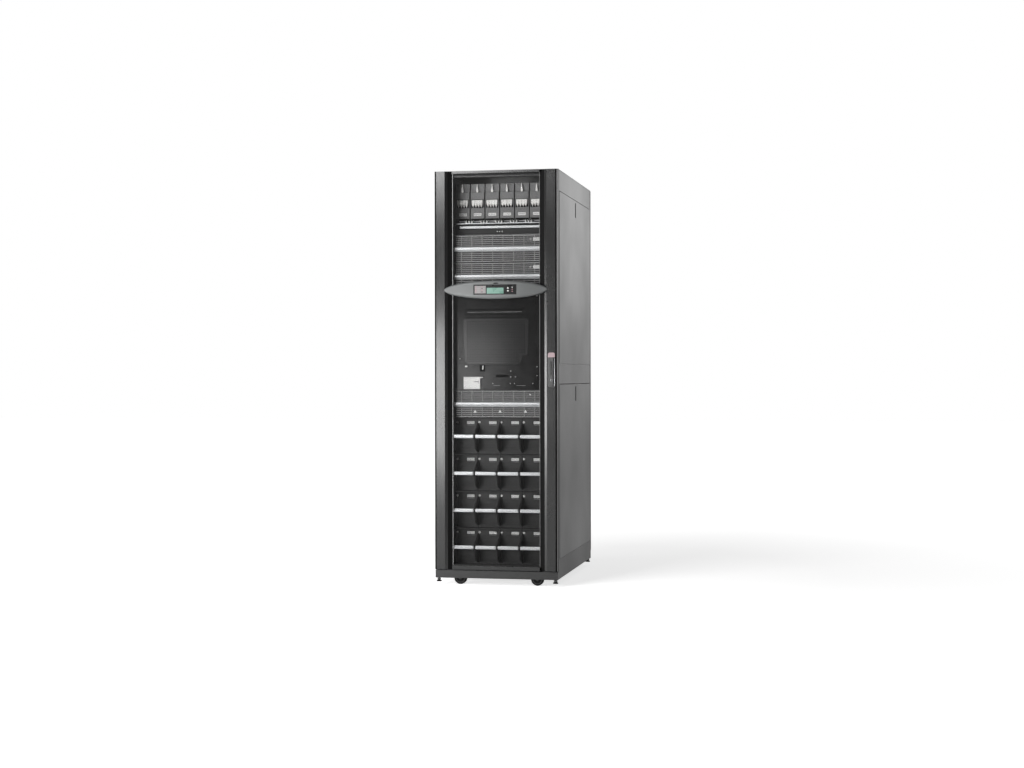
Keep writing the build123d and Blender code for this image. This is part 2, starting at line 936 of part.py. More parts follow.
def handle_lever():
    """The lever, slotted at its round head for the lug and bored for the pin."""
    y0 = lever_pin_y - lever_thick / 2
    y1 = lever_pin_y + lever_thick / 2
    bar = block(handle_x - lever_width / 2, handle_x + lever_width / 2, y0, y1,
                lever_low, lever_high)
    head = bar.edges().filter_by(Axis.X).group_by(Axis.Z)[-1]
    bar = fillet(head, lever_thick * lever_round_share)
    slot = block(handle_x - lug_width / 2 - lever_gap,
                 handle_x + lug_width / 2 + lever_gap,
                 y0 - overrun, y1 + overrun,
                 hub_z - 2 * lug_half_height, lever_high + overrun)
    bore = disc_along_x(handle_x - lever_width, handle_x + lever_width, lever_pin_y,
                        hub_z, lever_pin_radius + running_gap)
    return bar - slot - bore


# Casters


def caster_plate(x, y):
    """The fixed plate of a caster, bored for the kingpin."""
    low = plinth_top - caster_plate_thick
    plate = block(x - caster_plate_width / 2, x + caster_plate_width / 2,
                  y - caster_plate_length / 2, y + caster_plate_length / 2,
                  low, plinth_top)
    bore = disc_along_z(x, y, low - overrun, plinth_top + overrun,
                        kingpin_radius + running_gap)
    return plate - bore


def caster_fork(x, y, side):
    """The swivelling fork; its wheel trails towards the cabinet's middle."""
    crown_high = plinth_top - caster_plate_thick - seat_gap
    crown_low = crown_high - fork_crown
    axle_x = x - side * caster_trail
    inner = wheel_width / 2 + fork_side_gap
    outer = inner + fork_leg
    half = fork_leg_width / 2
    near = x + side * half
    far = axle_x - side * half
    tip = half * fork_tip_share
    fork = block(min(near, far), max(near, far), y - outer, y + outer,
                 crown_low, crown_high)
    for leg_side in (-1, 1):
        y0 = y + leg_side * (inner + outer) / 2 - fork_leg / 2
        fork += prism_back([(near, crown_low), (far, crown_low),
                            (axle_x - side * tip, wheel_radius - tip),
                            (axle_x + side * tip, wheel_radius - tip)],
                           y0, y0 + fork_leg)
    axle = disc_along_y(axle_x, y - outer, y + outer, wheel_radius, axle_radius)
    kingpin = disc_along_z(x, y, crown_low, plinth_top - seat_gap, kingpin_radius)
    return fork + axle + kingpin


def caster_wheel(x, y, side):
    axle_x = x - side * caster_trail
    wheel = disc_along_y(axle_x, y - wheel_width / 2, y + wheel_width / 2,
                         wheel_radius, wheel_radius)
    bore = disc_along_y(axle_x, y - wheel_width, y + wheel_width, wheel_radius,
                        axle_radius + running_gap)
    return wheel - bore


# Assembly

parts = {}


def add(name, shapes):
    """Keeps a node: one solid, or several that don't touch."""
    solids = []
    for shape in shapes:
        solids.extend(shape.solids())
    parts[name] = solids[0] if len(solids) == 1 else Compound(children=solids)


def add_frame():
    add("plinths", [plinth(plinth_front_y, plinth_front_y + sheet,
                           plinth_front_y, plinth_front_y + plinth_depth),
                    plinth(frame_rear_y - sheet, frame_rear_y,
                           frame_rear_y - plinth_depth, frame_rear_y)])
    add("base_sills", pair(base_sill()))
    add("base_plate", [block(-post_inner, post_inner, frame_front_y, frame_rear_y,
                             plinth_top, base_top)])
    left_post = across(corner_post(frame_front_y))
    for z in hinge_heights:
        left_post += hinge_ear(z)
    add("corner_posts", [corner_post(frame_front_y), left_post]
        + pair(corner_post(rear_post_front_y)))
    add("roof_rails", [header(frame_front_y), header(rear_post_front_y)]
        + pair(top_rail()))
    add("mid_rails", pair(mid_rail()))
    add("roof_panel", [block(-side_face, side_face, frame_front_y, frame_rear_y,
                             roof_low, cabinet_height)])
    add("lower_side_panels", pair(side_panel(lower_panel_low, lower_panel_top)))
    add("upper_side_panels", pair(side_panel(upper_panel_low, upper_panel_top)))
    add("panel_latches", pair(panel_latch(lower_panel_top))
        + pair(panel_latch(upper_panel_top)))
    add("rear_doors", pair(rear_door()))
    add("levelling_feet", pair(foot(foot_front_y)) + pair(foot(foot_rear_y)))


def add_modules():
    add("bay_walls", pair(bay_wall()))
    shelf_tops = [bay_low + row * battery_pitch for row in range(battery_rows)]
    shelf_tops.extend(power_lows)
    shelf_tops.append(mid_low)
    add("bay_shelves", [bay_shelf(top) for top in shelf_tops])
    batteries = []
    for row in range(battery_rows):
        batteries.extend(battery_row(row))
    add("battery_modules", batteries)
    add("battery_bars", battery_bars())
    add("power_modules", [power_module(low) for low in power_lows])
    add("power_bars", power_bars())
    add("service_chassis", [service_chassis()])
    add("service_vent", [service_vent()])
    add("service_box", [service_box()])
    places = breaker_places()
    add("breaker_modules", [Pos(x, 0, 0) * breaker_module() for x in places])
    add("breaker_toggles", [Pos(x, 0, 0) * breaker_toggle() for x in places])
    add("breaker_pointers", [Pos(x, 0, 0) * breaker_pointer() for x in places])
    add("breaker_tray", [breaker_tray()])
    add("cable_bar", [cable_bar()])


def add_door():
    left = across(door_stile())
    for z in hinge_heights:
        left = left - hinge_slot(z) + hinge_eye(z)
    add("door_stiles", [door_stile(), left])
    add("door_rails", [door_rail(door_low, door_low + door_low_rail, False),
                       door_rail(door_top - door_top_rail, door_top, True)])
    add("door_mesh", [door_mesh()])
    add("display_bezel", [display_bezel()])
    add("display_panel", [display_panel()])
    add("display_screen", [display_screen()])
    add("display_keys", display_keys())
    add("handle_plate", [handle_plate()])
    add("handle_hub", [handle_hub()])
    add("handle_lever", [handle_lever()])


def add_casters():
    places = {"front_right": (1, caster_front_y), "front_left": (-1, caster_front_y),
              "rear_right": (1, caster_rear_y), "rear_left": (-1, caster_rear_y)}
    plates = []
    for name, (side, y) in places.items():
        x = side * caster_x
        plates.append(caster_plate(x, y))
        add(f"fork_{name}", [caster_fork(x, y, side)])
        add(f"wheel_{name}", [caster_wheel(x, y, side)])
    add("caster_plates", plates)


add_frame()
add_modules()
add_door()
add_casters()

os.makedirs("parts", exist_ok=True)
for name, shape in parts.items():
    export_step(shape, f"parts/{name}.step")
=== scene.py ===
import math

import bmesh
import bpy
from mathutils import Matrix, Vector


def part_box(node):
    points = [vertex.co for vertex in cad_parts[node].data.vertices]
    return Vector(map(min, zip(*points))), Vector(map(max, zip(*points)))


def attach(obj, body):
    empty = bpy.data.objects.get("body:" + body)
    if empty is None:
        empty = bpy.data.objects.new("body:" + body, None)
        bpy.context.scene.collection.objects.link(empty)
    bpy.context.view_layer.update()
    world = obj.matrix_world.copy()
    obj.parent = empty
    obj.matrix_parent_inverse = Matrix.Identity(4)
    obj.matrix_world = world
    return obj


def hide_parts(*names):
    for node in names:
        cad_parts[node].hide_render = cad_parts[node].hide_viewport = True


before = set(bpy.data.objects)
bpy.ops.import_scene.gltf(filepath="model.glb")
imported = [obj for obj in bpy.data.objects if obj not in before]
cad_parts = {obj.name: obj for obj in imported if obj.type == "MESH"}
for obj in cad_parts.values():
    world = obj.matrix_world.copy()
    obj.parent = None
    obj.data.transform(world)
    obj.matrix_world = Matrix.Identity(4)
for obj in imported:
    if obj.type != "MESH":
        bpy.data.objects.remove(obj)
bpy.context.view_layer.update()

scene = bpy.context.scene


# Finishes: node groups shared by the materials

noise_span = (0.3, 0.7)


def feed(tree, socket, value):
    """Gives a socket its value, or a link from another socket."""
    if isinstance(value, bpy.types.NodeSocket):
        tree.links.new(value, socket)
    else:
        socket.default_value = value


def new_group(name, numbers, has_height=True):
    """A node group that takes a colour, a roughness and numbers, and gives a surface."""
    group = bpy.data.node_groups.new(name, "ShaderNodeTree")

    def add_socket(label, way, kind="NodeSocketFloat"):
        group.interface.new_socket(label, in_out=way, socket_type=kind)

    for way in ("INPUT", "OUTPUT"):
        add_socket("Color", way, "NodeSocketColor")
        add_socket("Roughness", way)
    for label in numbers:
        add_socket(label, "INPUT")
    if has_height:
        add_socket("Height", "OUTPUT")
    given = group.nodes.new("NodeGroupInput").outputs
    return group, given, group.nodes.new("NodeGroupOutput").inputs


def noise(tree, vector, scale, detail):
    node = tree.nodes.new("ShaderNodeTexNoise")
    for label, value in (("Vector", vector), ("Scale", scale), ("Detail", detail),
                         ("Roughness", 0.55)):
        feed(tree, node.inputs[label], value)
    return node.outputs["Fac"]


def maths(tree, operation, a, b, clamp=False):
    node = tree.nodes.new("ShaderNodeMath")
    node.operation, node.use_clamp = operation, clamp
    feed(tree, node.inputs[0], a)
    feed(tree, node.inputs[1], b)
    return node.outputs["Value"]


def ramp(tree, value, low, high, to_low, to_high):
    """A value carried from one range to another, held at its ends."""
    node = tree.nodes.new("ShaderNodeMapRange")
    for label, amount in (("Value", value), ("From Min", low), ("From Max", high),
                          ("To Min", to_low), ("To Max", to_high)):
        feed(tree, node.inputs[label], amount)
    return node.outputs["Result"]


def tint(tree, share, a, b, blend="MIX"):
    node = tree.nodes.new("ShaderNodeMix")
    node.data_type, node.blend_type = "RGBA", blend
    for place, value in ((0, share), (6, a), (7, b)):
        feed(tree, node.inputs[place], value)
    return node.outputs[2]


def grey(value):
    return (value, value, value, 1.0)


def object_place(tree):
    return tree.nodes.new("ShaderNodeTexCoord").outputs["Object"]


def tone_factor(group, given, mask):
    """A factor about one that follows a mask, as wide as the group's spread."""
    low, high = (maths(group, way, 1.0, given["Spread"]) for way in ("SUBTRACT", "ADD"))
    return ramp(group, mask, *noise_span, low, high)


def toned(group, given, factor):
    """The given colour, multiplied by a factor."""
    shade = group.nodes.new("ShaderNodeCombineColor")
    for socket in shade.inputs:
        group.links.new(factor, socket)
    return tint(group, 1.0, given["Color"], shade.outputs["Color"], "MULTIPLY")


def give(group, result, *surface):
    """Links a group's colour, roughness and height to what it gives."""
    for label, socket in zip(("Color", "Roughness", "Height"), surface):
        group.links.new(socket, result[label])
    return group


def make_powder_coat():
    """Fine orange peel with a slow drift of tone over a large sheet."""
    group, given, result = new_group("powder_coat", ("Scale", "Spread"))
    place = object_place(group)
    drift_scale, speck_scale = 2.3, 160.0
    peel = noise(group, place, given["Scale"], 2.0)
    drift = noise(group, place, drift_scale, 2.0)
    speck = noise(group, place, speck_scale, 1.0)
    factor = maths(group, "MULTIPLY", tone_factor(group, given, drift),
                   ramp(group, speck, 0.35, 0.65, 0.97, 1.03))
    rub = ramp(group, drift, *noise_span, -0.04, 0.04)
    fine = ramp(group, peel, *noise_span, -0.03, 0.03)
    rough = maths(group, "ADD", given["Roughness"], maths(group, "ADD", rub, fine))
    return give(group, result, toned(group, given, factor), rough, peel)


def make_dust():
    """A thin film of dust on faces that look up, thicker in patches."""
    group, given, result = new_group("settled_dust", ("Amount",), has_height=False)
    place = group.nodes.new("ShaderNodeTexCoord")
    split = group.nodes.new("ShaderNodeSeparateXYZ")
    group.links.new(place.outputs["Normal"], split.inputs["Vector"])
    upward = ramp(group, split.outputs["Z"], 0.5, 1.0, 0.0, 1.0)
    patch = ramp(group, noise(group, place.outputs["Object"], 14.0, 4.0), 0.35, 0.7, 0.3, 1.0)
    film = maths(group, "MULTIPLY", upward, patch)
    share = maths(group, "MULTIPLY", film, given["Amount"], clamp=True)
    dust_color = (0.32, 0.31, 0.29, 1.0)
    return give(group, result, tint(group, share, given["Color"], dust_color),
                maths(group, "ADD", given["Roughness"], share, clamp=True))


def make_brushed_lines():
    """Long fine scratches along X, as on an extruded bar."""
    group, given, result = new_group("brushed_lines", ("Scale", "Spread"))
    stretch = group.nodes.new("ShaderNodeMapping")
    stretch.inputs["Scale"].default_value = (0.02, 1.0, 1.0)
    group.links.new(object_place(group), stretch.inputs["Vector"])
    lines = noise(group, stretch.outputs["Vector"], given["Scale"], 2.0)
    factor = tone_factor(group, given, lines)
    rough = maths(group, "MULTIPLY", given["Roughness"], factor)
    return give(group, result, toned(group, given, factor), rough, lines)


def make_moulded_grain():
    """The pebbled grain of moulded plastic, with a faint mottle."""
    group, given, result = new_group("moulded_grain", ("Scale", "Spread"))
    place = object_place(group)
    cells = group.nodes.new("ShaderNodeTexVoronoi")
    group.links.new(place, cells.inputs["Vector"])
    group.links.new(given["Scale"], cells.inputs["Scale"])
    mottle_scale = 25.0
    mottle = noise(group, place, mottle_scale, 3.0)
    color = toned(group, given, tone_factor(group, given, mottle))
    rough = maths(group, "ADD", given["Roughness"],
                  ramp(group, mottle, *noise_span, -0.04, 0.04))
    return give(group, result, color, rough, cells.outputs["Distance"])


powder_coat = make_powder_coat()
settled_dust = make_dust()
brushed_lines = make_brushed_lines()
moulded_grain = make_moulded_grain()


def finish(name, color, roughness, texture, scale, depth, spread=0.06, dust=0.0,
           metallic=0.0, specular=0.5, coat=0.0):
    """A material: one texture group, dust where it can settle, and a fine bump."""
    material = bpy.data.materials.new(name)
    material.use_nodes = True
    tree = material.node_tree
    shader = tree.nodes["Principled BSDF"]
    surface = last = tree.nodes.new("ShaderNodeGroup")
    surface.node_tree = texture
    if dust:
        last = tree.nodes.new("ShaderNodeGroup")
        last.node_tree = settled_dust
        last.inputs["Amount"].default_value = dust
        for label in ("Color", "Roughness"):
            tree.links.new(surface.outputs[label], last.inputs[label])
    bump = tree.nodes.new("ShaderNodeBump")
    color = grey(color) if isinstance(color, float) else (*color, 1.0)
    for node, values in (
            (surface, {"Color": color, "Roughness": roughness, "Scale": scale,
                       "Spread": spread}),
            (bump, {"Strength": 0.35, "Distance": depth,
                    "Height": surface.outputs["Height"]}),
            (shader, {"Metallic": metallic, "Specular IOR Level": specular,
                      "Coat Weight": coat, "Coat Roughness": 0.08,
                      "Base Color": last.outputs["Color"],
                      "Roughness": last.outputs["Roughness"],
                      "Normal": bump.outputs["Normal"]})):
        for label, value in values.items():
            feed(tree, node.inputs[label], value)
    return material


# Painted sheet
door_coat = finish("door_coat", 0.013, 0.22, powder_coat, 850.0, 0.00025, 0.07, dust=0.1)
panel_coat = finish("panel_coat", 0.03, 0.36, powder_coat, 800.0, 0.00025, 0.06, dust=0.1)
frame_coat = finish("frame_coat", 0.010, 0.42, powder_coat, 900.0, 0.00025, 0.08, dust=0.15)
black_coat = finish("black_coat", 0.003, 0.8, powder_coat, 900.0, 0.0002, 0.1, specular=0.02)
# A near-black matte finish for the band inside each stile.
matte_black_band = finish("matte_black_band", 0.006, 0.6, powder_coat, 900.0, 0.0002, 0.08, specular=0.03)
mesh_coat = finish("mesh_coat", 0.006, 0.5, powder_coat, 1200.0, 0.0001, 0.05, specular=0.22)
bay_coat = finish("bay_coat", 0.012, 0.55, powder_coat, 900.0, 0.0002, 0.1, dust=0.1,
                  specular=0.3)
vent_moulding = finish("vent_moulding", 0.014, 0.18, powder_coat, 1100.0, 0.00008, 0.08,
                       specular=0.24)

# Metal
satin_metal = finish("satin_metal", (0.53, 0.54, 0.55), 0.36, brushed_lines, 900.0, 0.0002,
                     0.05, metallic=0.35)
bright_metal = finish("bright_metal", (0.36, 0.36, 0.37), 0.3, brushed_lines, 1200.0, 0.0001,
                      0.04, metallic=1.0)
dark_metal = finish("dark_metal", 0.08, 0.38, brushed_lines, 900.0, 0.0002, 0.08, metallic=0.6)
bead_metal = finish("bead_metal", 0.33, 0.4, brushed_lines, 700.0, 0.0001, 0.05, metallic=0.2)
# A darker copy of bead_metal for the right bead: painted shade.
bead_painted_shade = finish("bead_painted_shade", 0.14, 0.5, brushed_lines, 700.0, 0.0001, 0.05)

# Plastic and rubber
case_moulding = finish("case_moulding", 0.014, 0.4, moulded_grain, 1300.0, 0.0003, dust=0.08,
                       specular=0.3)
lip_moulding = finish("lip_moulding", 0.24, 0.5, moulded_grain, 1500.0, 0.0002)
rim_moulding = finish("rim_moulding", 0.34, 0.5, moulded_grain, 1500.0, 0.0002)
breaker_grey = finish("breaker_grey", 0.13, 0.45, moulded_grain, 1500.0, 0.0002, dust=0.08)
gloss_panel = finish("gloss_panel", 0.005, 0.17, moulded_grain, 900.0, 0.00005, 0.1,
                     specular=0.15)
white_label = finish("white_label", (0.68, 0.68, 0.67), 0.6, moulded_grain, 2500.0, 0.0001,
                     0.03)
label_print = finish("label_print", 0.22, 0.6, moulded_grain, 2500.0, 0.0001, 0.1)
toggle_plastic = finish("toggle_plastic", (0.72, 0.71, 0.69), 0.4, moulded_grain, 1800.0,
                        0.0002, 0.04)
bezel_moulding = finish("bezel_moulding", (0.079, 0.083, 0.083), 0.42, moulded_grain, 1500.0,
                        0.0002, 0.04, dust=0.08)
display_black = finish("display_black", 0.008, 0.3, moulded_grain, 2200.0, 0.0001,
                       specular=0.2)
legend_plastic = finish("legend_plastic", (0.17, 0.155, 0.155), 0.45, moulded_grain, 2200.0,
                        0.0001)
legend_red = finish("legend_red", (0.32, 0.16, 0.18), 0.45, moulded_grain, 2200.0, 0.0001)
screen_glass = finish("screen_glass", (0.115, 0.225, 0.18), 0.28, moulded_grain, 600.0,
                      0.00005, 0.05, coat=0.4)
pink_block = finish("pink_block", (0.32, 0.235, 0.25), 0.4, moulded_grain, 1800.0, 0.0001,
                    0.08)
handle_moulding = finish("handle_moulding", 0.03, 0.36, moulded_grain, 1600.0, 0.0002,
                         dust=0.08)
tyre_rubber = finish("tyre_rubber", 0.006, 0.62, moulded_grain, 900.0, 0.0004, 0.15,
                     dust=0.15, specular=0.15)


# Shells: corners, faces and the number of each face's finish


def shell_of(bm, mark=0):
    """The corners and faces of a mesh, all with one finish."""
    bmesh.ops.recalc_face_normals(bm, faces=bm.faces)
    bm.verts.index_update()
    points = [vertex.co.copy() for vertex in bm.verts]
    faces = [[vertex.index for vertex in face.verts] for face in bm.faces]
    bm.free()
    return points, faces, [mark] * len(faces)


def roll(bm, edges, width, steps):
    """Rolls edges of a mesh, as folded sheet and mouldings have them."""
    bmesh.ops.bevel(bm, geom=edges, offset=width, segments=steps, profile=0.5,
                    affect="EDGES", clamp_overlap=True)


def circle(sides, radius, rise=None, start=0.0):
    """Points of a circle about the origin, or of an oval if it has a rise of its own."""
    angles = [start + 2 * math.pi * k / sides for k in range(sides)]
    return [(radius * math.cos(a), (rise or radius) * math.sin(a)) for a in angles]


def mirrored(x, right):
    """An outline that is alike on both sides of x, around from its first left corner."""
    left = [(x - dx, z) for dx, z in right]
    return left[:1] + [(x + dx, z) for dx, z in right] + left[:0:-1]


def plate(outline, ys, edge=0.0, mark=0, steps=1, cells=None):
    """An outline in X and Z, carried from front to back, with its front edge rolled."""
    bm = bmesh.new()
    front, back = ([bm.verts.new((x, y, z)) for x, z in outline] for y in ys)
    count = len(outline)
    for cell in cells or [range(count)]:
        bm.faces.new([front[i] for i in cell])
        bm.faces.new([back[i] for i in reversed(cell)])
    for i in range(count):
        j = (i + 1) % count
        bm.faces.new((front[i], back[i], back[j], front[j]))
    bmesh.ops.recalc_face_normals(bm, faces=bm.faces)
    if edge:
        rim = [e for e in bm.edges
               if all(v in front for v in e.verts) and e.calc_face_angle() > 1.0]
        roll(bm, rim, edge, steps)
    return shell_of(bm, mark)


def wing(outline, xs, edge=0.0):
    """An outline in Y and Z, carried across between two places in X."""
    points, faces, marks = plate(outline, xs, edge)
    return [Vector((p.y, p.x, p.z)) for p in points], [f[::-1] for f in faces], marks


def turned(profile, centre, sides, mark=0, axis="Y"):
    """A round part from (radius, place along the axis) pairs, closed at both ends."""
    bm = bmesh.new()
    rings = []
    for radius, along in profile:
        ring = []
        for a, b in circle(sides, radius):
            offset = {"X": (along, a, b), "Y": (a, along, b), "Z": (a, b, along)}[axis]
            ring.append(bm.verts.new(Vector(centre) + Vector(offset)))
        rings.append(ring)
    for near, far in zip(rings, rings[1:]):
        for k in range(sides):
            j = (k + 1) % sides
            bm.faces.new((near[k], near[j], far[j], far[k]))
    bm.faces.new(rings[0])
    bm.faces.new(rings[-1][::-1])
    return shell_of(bm, mark)


def hexagon_nut(centre, size, height, mark=0, axis="Y"):
    """A six-sided nut with its corners turned off."""
    half, flat, corner = height / 2, height / 2 * 0.7, 0.86 * size
    return turned([(corner, -half), (size, -flat), (size, flat), (corner, half)],
                  centre, 6, mark, axis)


def screw_head(centre, radius, height, mark):
    """A low domed screw head that faces the front."""
    return turned([(radius, 0.0), (radius, -height * 0.5), (radius * 0.7, -height * 0.9),
                   (radius * 0.3, -height)], centre, 14, mark)


class Build:
    """Collects the shells that make up one piece."""

    def __init__(self):
        self.points, self.faces, self.marks = [], [], []

    def add(self, shell, at=(0, 0, 0)):
        first, at = len(self.points), Vector(at)
        points, faces, marks = shell
        self.points.extend(point + at for point in points)
        self.faces.extend([first + i for i in face] for face in faces)
        self.marks.extend(marks)

    def block(self, xs, ys, zs, edge=0.0, mark=0, steps=1):
        """Adds a block between two places on each axis, with rolled edges."""
        bm = bmesh.new()
        bmesh.ops.create_cube(bm, size=1.0)
        low, high = (Vector([end(pair) for pair in (xs, ys, zs)]) for end in (min, max))
        middle, size = (low + high) / 2, high - low
        for vertex in bm.verts:
            vertex.co = Vector([m + c * s for m, c, s in zip(middle, vertex.co, size)])
        if edge:
            roll(bm, list(bm.edges), edge, steps)
        self.add(shell_of(bm, mark))

    def row(self, count, step, xs, ys, zs, edge=0.0, mark=0):
        """Adds like blocks, each one step further than the last."""
        for k in range(count):
            spans = [[v + k * d for v in pair] for pair, d in zip((xs, ys, zs), step)]
            self.block(*spans, edge, mark)

    def bar(self, xs, ys, zs):
        """Adds a bar with a full front radius and closed ends."""
        self.block(xs, ys, zs, min(ys[1] - ys[0], zs[1] - zs[0]) * 0.36, steps=4)

    def repeat(self, unit, places):
        """Adds a copy of another collection at each place."""
        for place in places:
            self.add((unit.points, unit.faces, unit.marks), place)

    def piece(self, name, slot, finishes, replaces=(), body="cabinet", smooth=40):
        """The finished piece, riding on its body."""
        mesh = bpy.data.meshes.new(name)
        mesh.from_pydata(self.points, [], self.faces)
        for material in finishes:
            mesh.materials.append(material)
        mesh.polygons.foreach_set("material_index", self.marks)
        mesh.polygons.foreach_set("use_smooth", [True] * len(self.faces))
        mesh.set_sharp_from_angle(angle=math.radians(smooth))
        mesh.update()
        piece = bpy.data.objects.new(name, mesh)
        scene.collection.objects.link(piece)
        even = piece.modifiers.new("even_shading", "WEIGHTED_NORMAL")
        even.keep_sharp = True
        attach(piece, body)
        if replaces:
            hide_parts(*replaces)


def keep(nodes, material):
    """CAD nodes whose shape is right, in a better finish."""
    for node in nodes:
        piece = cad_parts[node]
        if piece.material_slots:
            for place in piece.material_slots:
                place.material = material
        else:
            piece.data.materials.append(material)


def rolled(node, edge, cuts=()):
    """The form of a CAD node with its sharp edges rolled, parted at places in X."""
    bm = bmesh.new()
    bm.from_mesh(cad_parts[node].data)
    bmesh.ops.remove_doubles(bm, verts=bm.verts, dist=0.00001)
    bmesh.ops.dissolve_limit(bm, angle_limit=math.radians(1.0), verts=bm.verts,
                             edges=bm.edges)
    sharp = [e for e in bm.edges if e.is_manifold and e.calc_face_angle() > math.radians(30)]
    roll(bm, sharp, edge, 2)
    for x in cuts:
        bmesh.ops.bisect_plane(bm, geom=bm.verts[:] + bm.edges[:] + bm.faces[:],
                               plane_co=(x, 0, 0), plane_no=(1, 0, 0))
    return shell_of(bm)


def dress(node, name, slot, finishes, edge, body="cabinet", mark_of=None, cuts=()):
    """Stands in for a CAD node with the same form and rolled edges."""
    build = Build()
    build.add(rolled(node, edge, cuts))
    if mark_of:
        build.marks = [mark_of([build.points[i] for i in face]) for face in build.faces]
    build.piece(name, slot, finishes, [node], body)


# Base, frame and side panels

for cad_node, cover, paint_slot, paint in (
        ("plinths", "plinth_covers", "frame_paint", frame_coat),
        ("base_sills", "sill_rails", "frame_paint", frame_coat),
        ("corner_posts", "post_tubes", "frame_paint", frame_coat),
        ("mid_rails", "mid_rail_channels", "panel_paint", panel_coat),
        ("roof_rails", "roof_rail_channels", "panel_paint", panel_coat),
        ("roof_panel", "roof_sheet", "panel_paint", panel_coat),
        ("lower_side_panels", "lower_side_pans", "panel_paint", panel_coat),
        ("upper_side_panels", "upper_side_pans", "panel_paint", panel_coat),
        ("panel_latches", "latch_cups", "latch_black", black_coat)):
    dress(cad_node, cover, paint_slot, [paint], 0.0006)
keep(["base_plate"], frame_coat)
keep(["bay_walls", "bay_shelves"], bay_coat)


def panel_gaskets():
    """A foam strip in the seam above and below each side panel."""
    build = Build()
    seam, slack, reach, thick, tall = 0.003, 0.0003, 0.010, 0.005, 0.015
    for node, above in (("lower_side_panels", seam), ("upper_side_panels", tall)):
        low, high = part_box(node)
        for foot, height in ((low.z - seam, seam), (high.z, above)):
            for side in (-1, 1):
                build.block((side * (high.x - reach), side * (high.x - reach - thick)),
                            (low.y, high.y), (foot + slack, foot + height - slack), 0.0004)
    build.piece("panel_gasket_strips", "frame_paint", [black_coat])


def latch_locks():
    """A round lock in each latch cup."""
    build = Build()
    low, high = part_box("panel_latches")
    lock_radius, lock_drop, lock_depth, lock_inset, latch_drop = (
        0.0045, 0.0085, 0.003, 0.0015, 0.011)
    for top in (high.z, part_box("lower_side_panels")[1].z - latch_drop):
        for side in (-1, 1):
            centre = (side * (high.x - lock_inset), (low.y + high.y) / 2, top - lock_drop)
            build.add(turned([(lock_radius, 0.0), (lock_radius, -side * lock_depth)],
                             centre, 20, axis="X"))
    build.piece("latch_lock_barrels", "latch_black", [dark_metal])


panel_gaskets()
latch_locks()


# Door: stiles, rails and perforated sheet

door_low, door_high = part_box("door_stiles")
mesh_low, mesh_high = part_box("door_mesh")
# The black along each stile's outer front edge is painted shade of the gap beside the door.
painted_shade_width, painted_shade_skin = 0.0075, 0.0015
stile_ridge, stile_foot, stile_window = 0.2486, 0.2365, 0.2136
painted_shade_line = door_high.x - painted_shade_width
door_edge = 0.0005


def stile_mark(points):
    """A stile is black along its outer front edge, as painted shade of the gap beside the door,
    has a near-black band inside, and paint between.
    """
    middle = sum(abs(p.x) for p in points) / len(points)
    depth = sum(p.y for p in points) / len(points)
    # Front faces near the outer edge take black: painted shade of the gap beside the door.
    if middle > painted_shade_line and depth < door_low.y + painted_shade_skin:
        return 1
    return 2 if middle < stile_foot else 0


dress("door_stiles", "stile_covers", "door_paint", [door_coat, black_coat, matte_black_band],
      door_edge, "front_door", stile_mark, (-painted_shade_line, painted_shade_line))
dress("door_rails", "door_rail_covers", "door_paint", [door_coat], door_edge, "front_door")


def honeycomb(build, xs, zs, y, pitch, web):
    """A flat perforated sheet: hexagonal holes in rows, with a web between them."""
    row_step = pitch * math.sqrt(3) / 2
    hole = circle(6, (pitch - web) / math.sqrt(3), start=math.pi / 6)
    columns = int((xs[1] - xs[0]) / pitch)
    rows = int((zs[1] - zs[0]) / row_step)
    left = sum(xs) / 2 - (columns - 0.5) * pitch / 2
    low = sum(zs) / 2 - (rows - 1) * row_step / 2
    points, faces = [], []

    def join(*corners):
        faces.append([(row * columns + column) * 6 + k for row, column, k in corners])

    for row in range(rows):
        over, shift = row + 1, row % 2
        for column in range(columns):
            x, z = left + (column + 0.5 * shift) * pitch, low + row * row_step
            points.extend(Vector((x + a, y, z + b)) for a, b in hole)
            near, far, beside = column + shift - 1, column + shift, column + 1
            if beside < columns:
                join((row, column, 5), (row, beside, 3), (row, beside, 2), (row, column, 0))
            if over == rows:
                continue
            if far < columns:
                join((row, column, 0), (over, far, 4), (over, far, 3), (row, column, 1))
            if 0 <= near:
                join((row, column, 1), (over, near, 5), (over, near, 4), (row, column, 2))
            if 0 <= near and far < columns:
                join((row, column, 1), (over, far, 3), (over, near, 5))
            if far < columns and beside < columns:
                join((row, column, 0), (row, beside, 2), (over, far, 4))
    build.add((points, faces, [0] * len(faces)))


def door_perforation():
    """The perforated sheet of the front door, in its folded border."""
    build = Build()
    low, high = mesh_low, mesh_high
    pitch, web, border, edge = 0.0066, 0.0008, 0.008, 0.0003
    honeycomb(build, (low.x, high.x), (low.z, high.z), (low.y + high.y) / 2, pitch, web)
    for x in (low.x, high.x - border):
        build.block((x, x + border), (low.y, high.y), (low.z, high.z), edge)
    for z in (low.z, high.z - border):
        build.block((low.x, high.x), (low.y, high.y), (z, z + border), edge)
    build.piece("door_perforated_sheet", "mesh_paint", [mesh_coat], ["door_mesh"],
                "front_door")


def mesh_trims():
    """A bead along each side of the perforated sheet, the right one in a darker finish that
    paints its shade.
    """
    build = Build()
    low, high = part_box("door_rails")
    bead, proud, foot_gap, head_gap = 0.0022, 0.0025, 0.018, 0.013
    for side, mark in ((-1, 0), (1, 1)):
        build.block((side * high.x, side * (high.x - bead)), (mesh_low.y - proud, mesh_low.y),
                    (low.z + foot_gap, high.z - head_gap), 0.0005, mark)
    build.piece("mesh_beads", "mesh_paint", [bead_metal, bead_painted_shade], body="front_door")


door_perforation()
mesh_trims()


# Battery modules

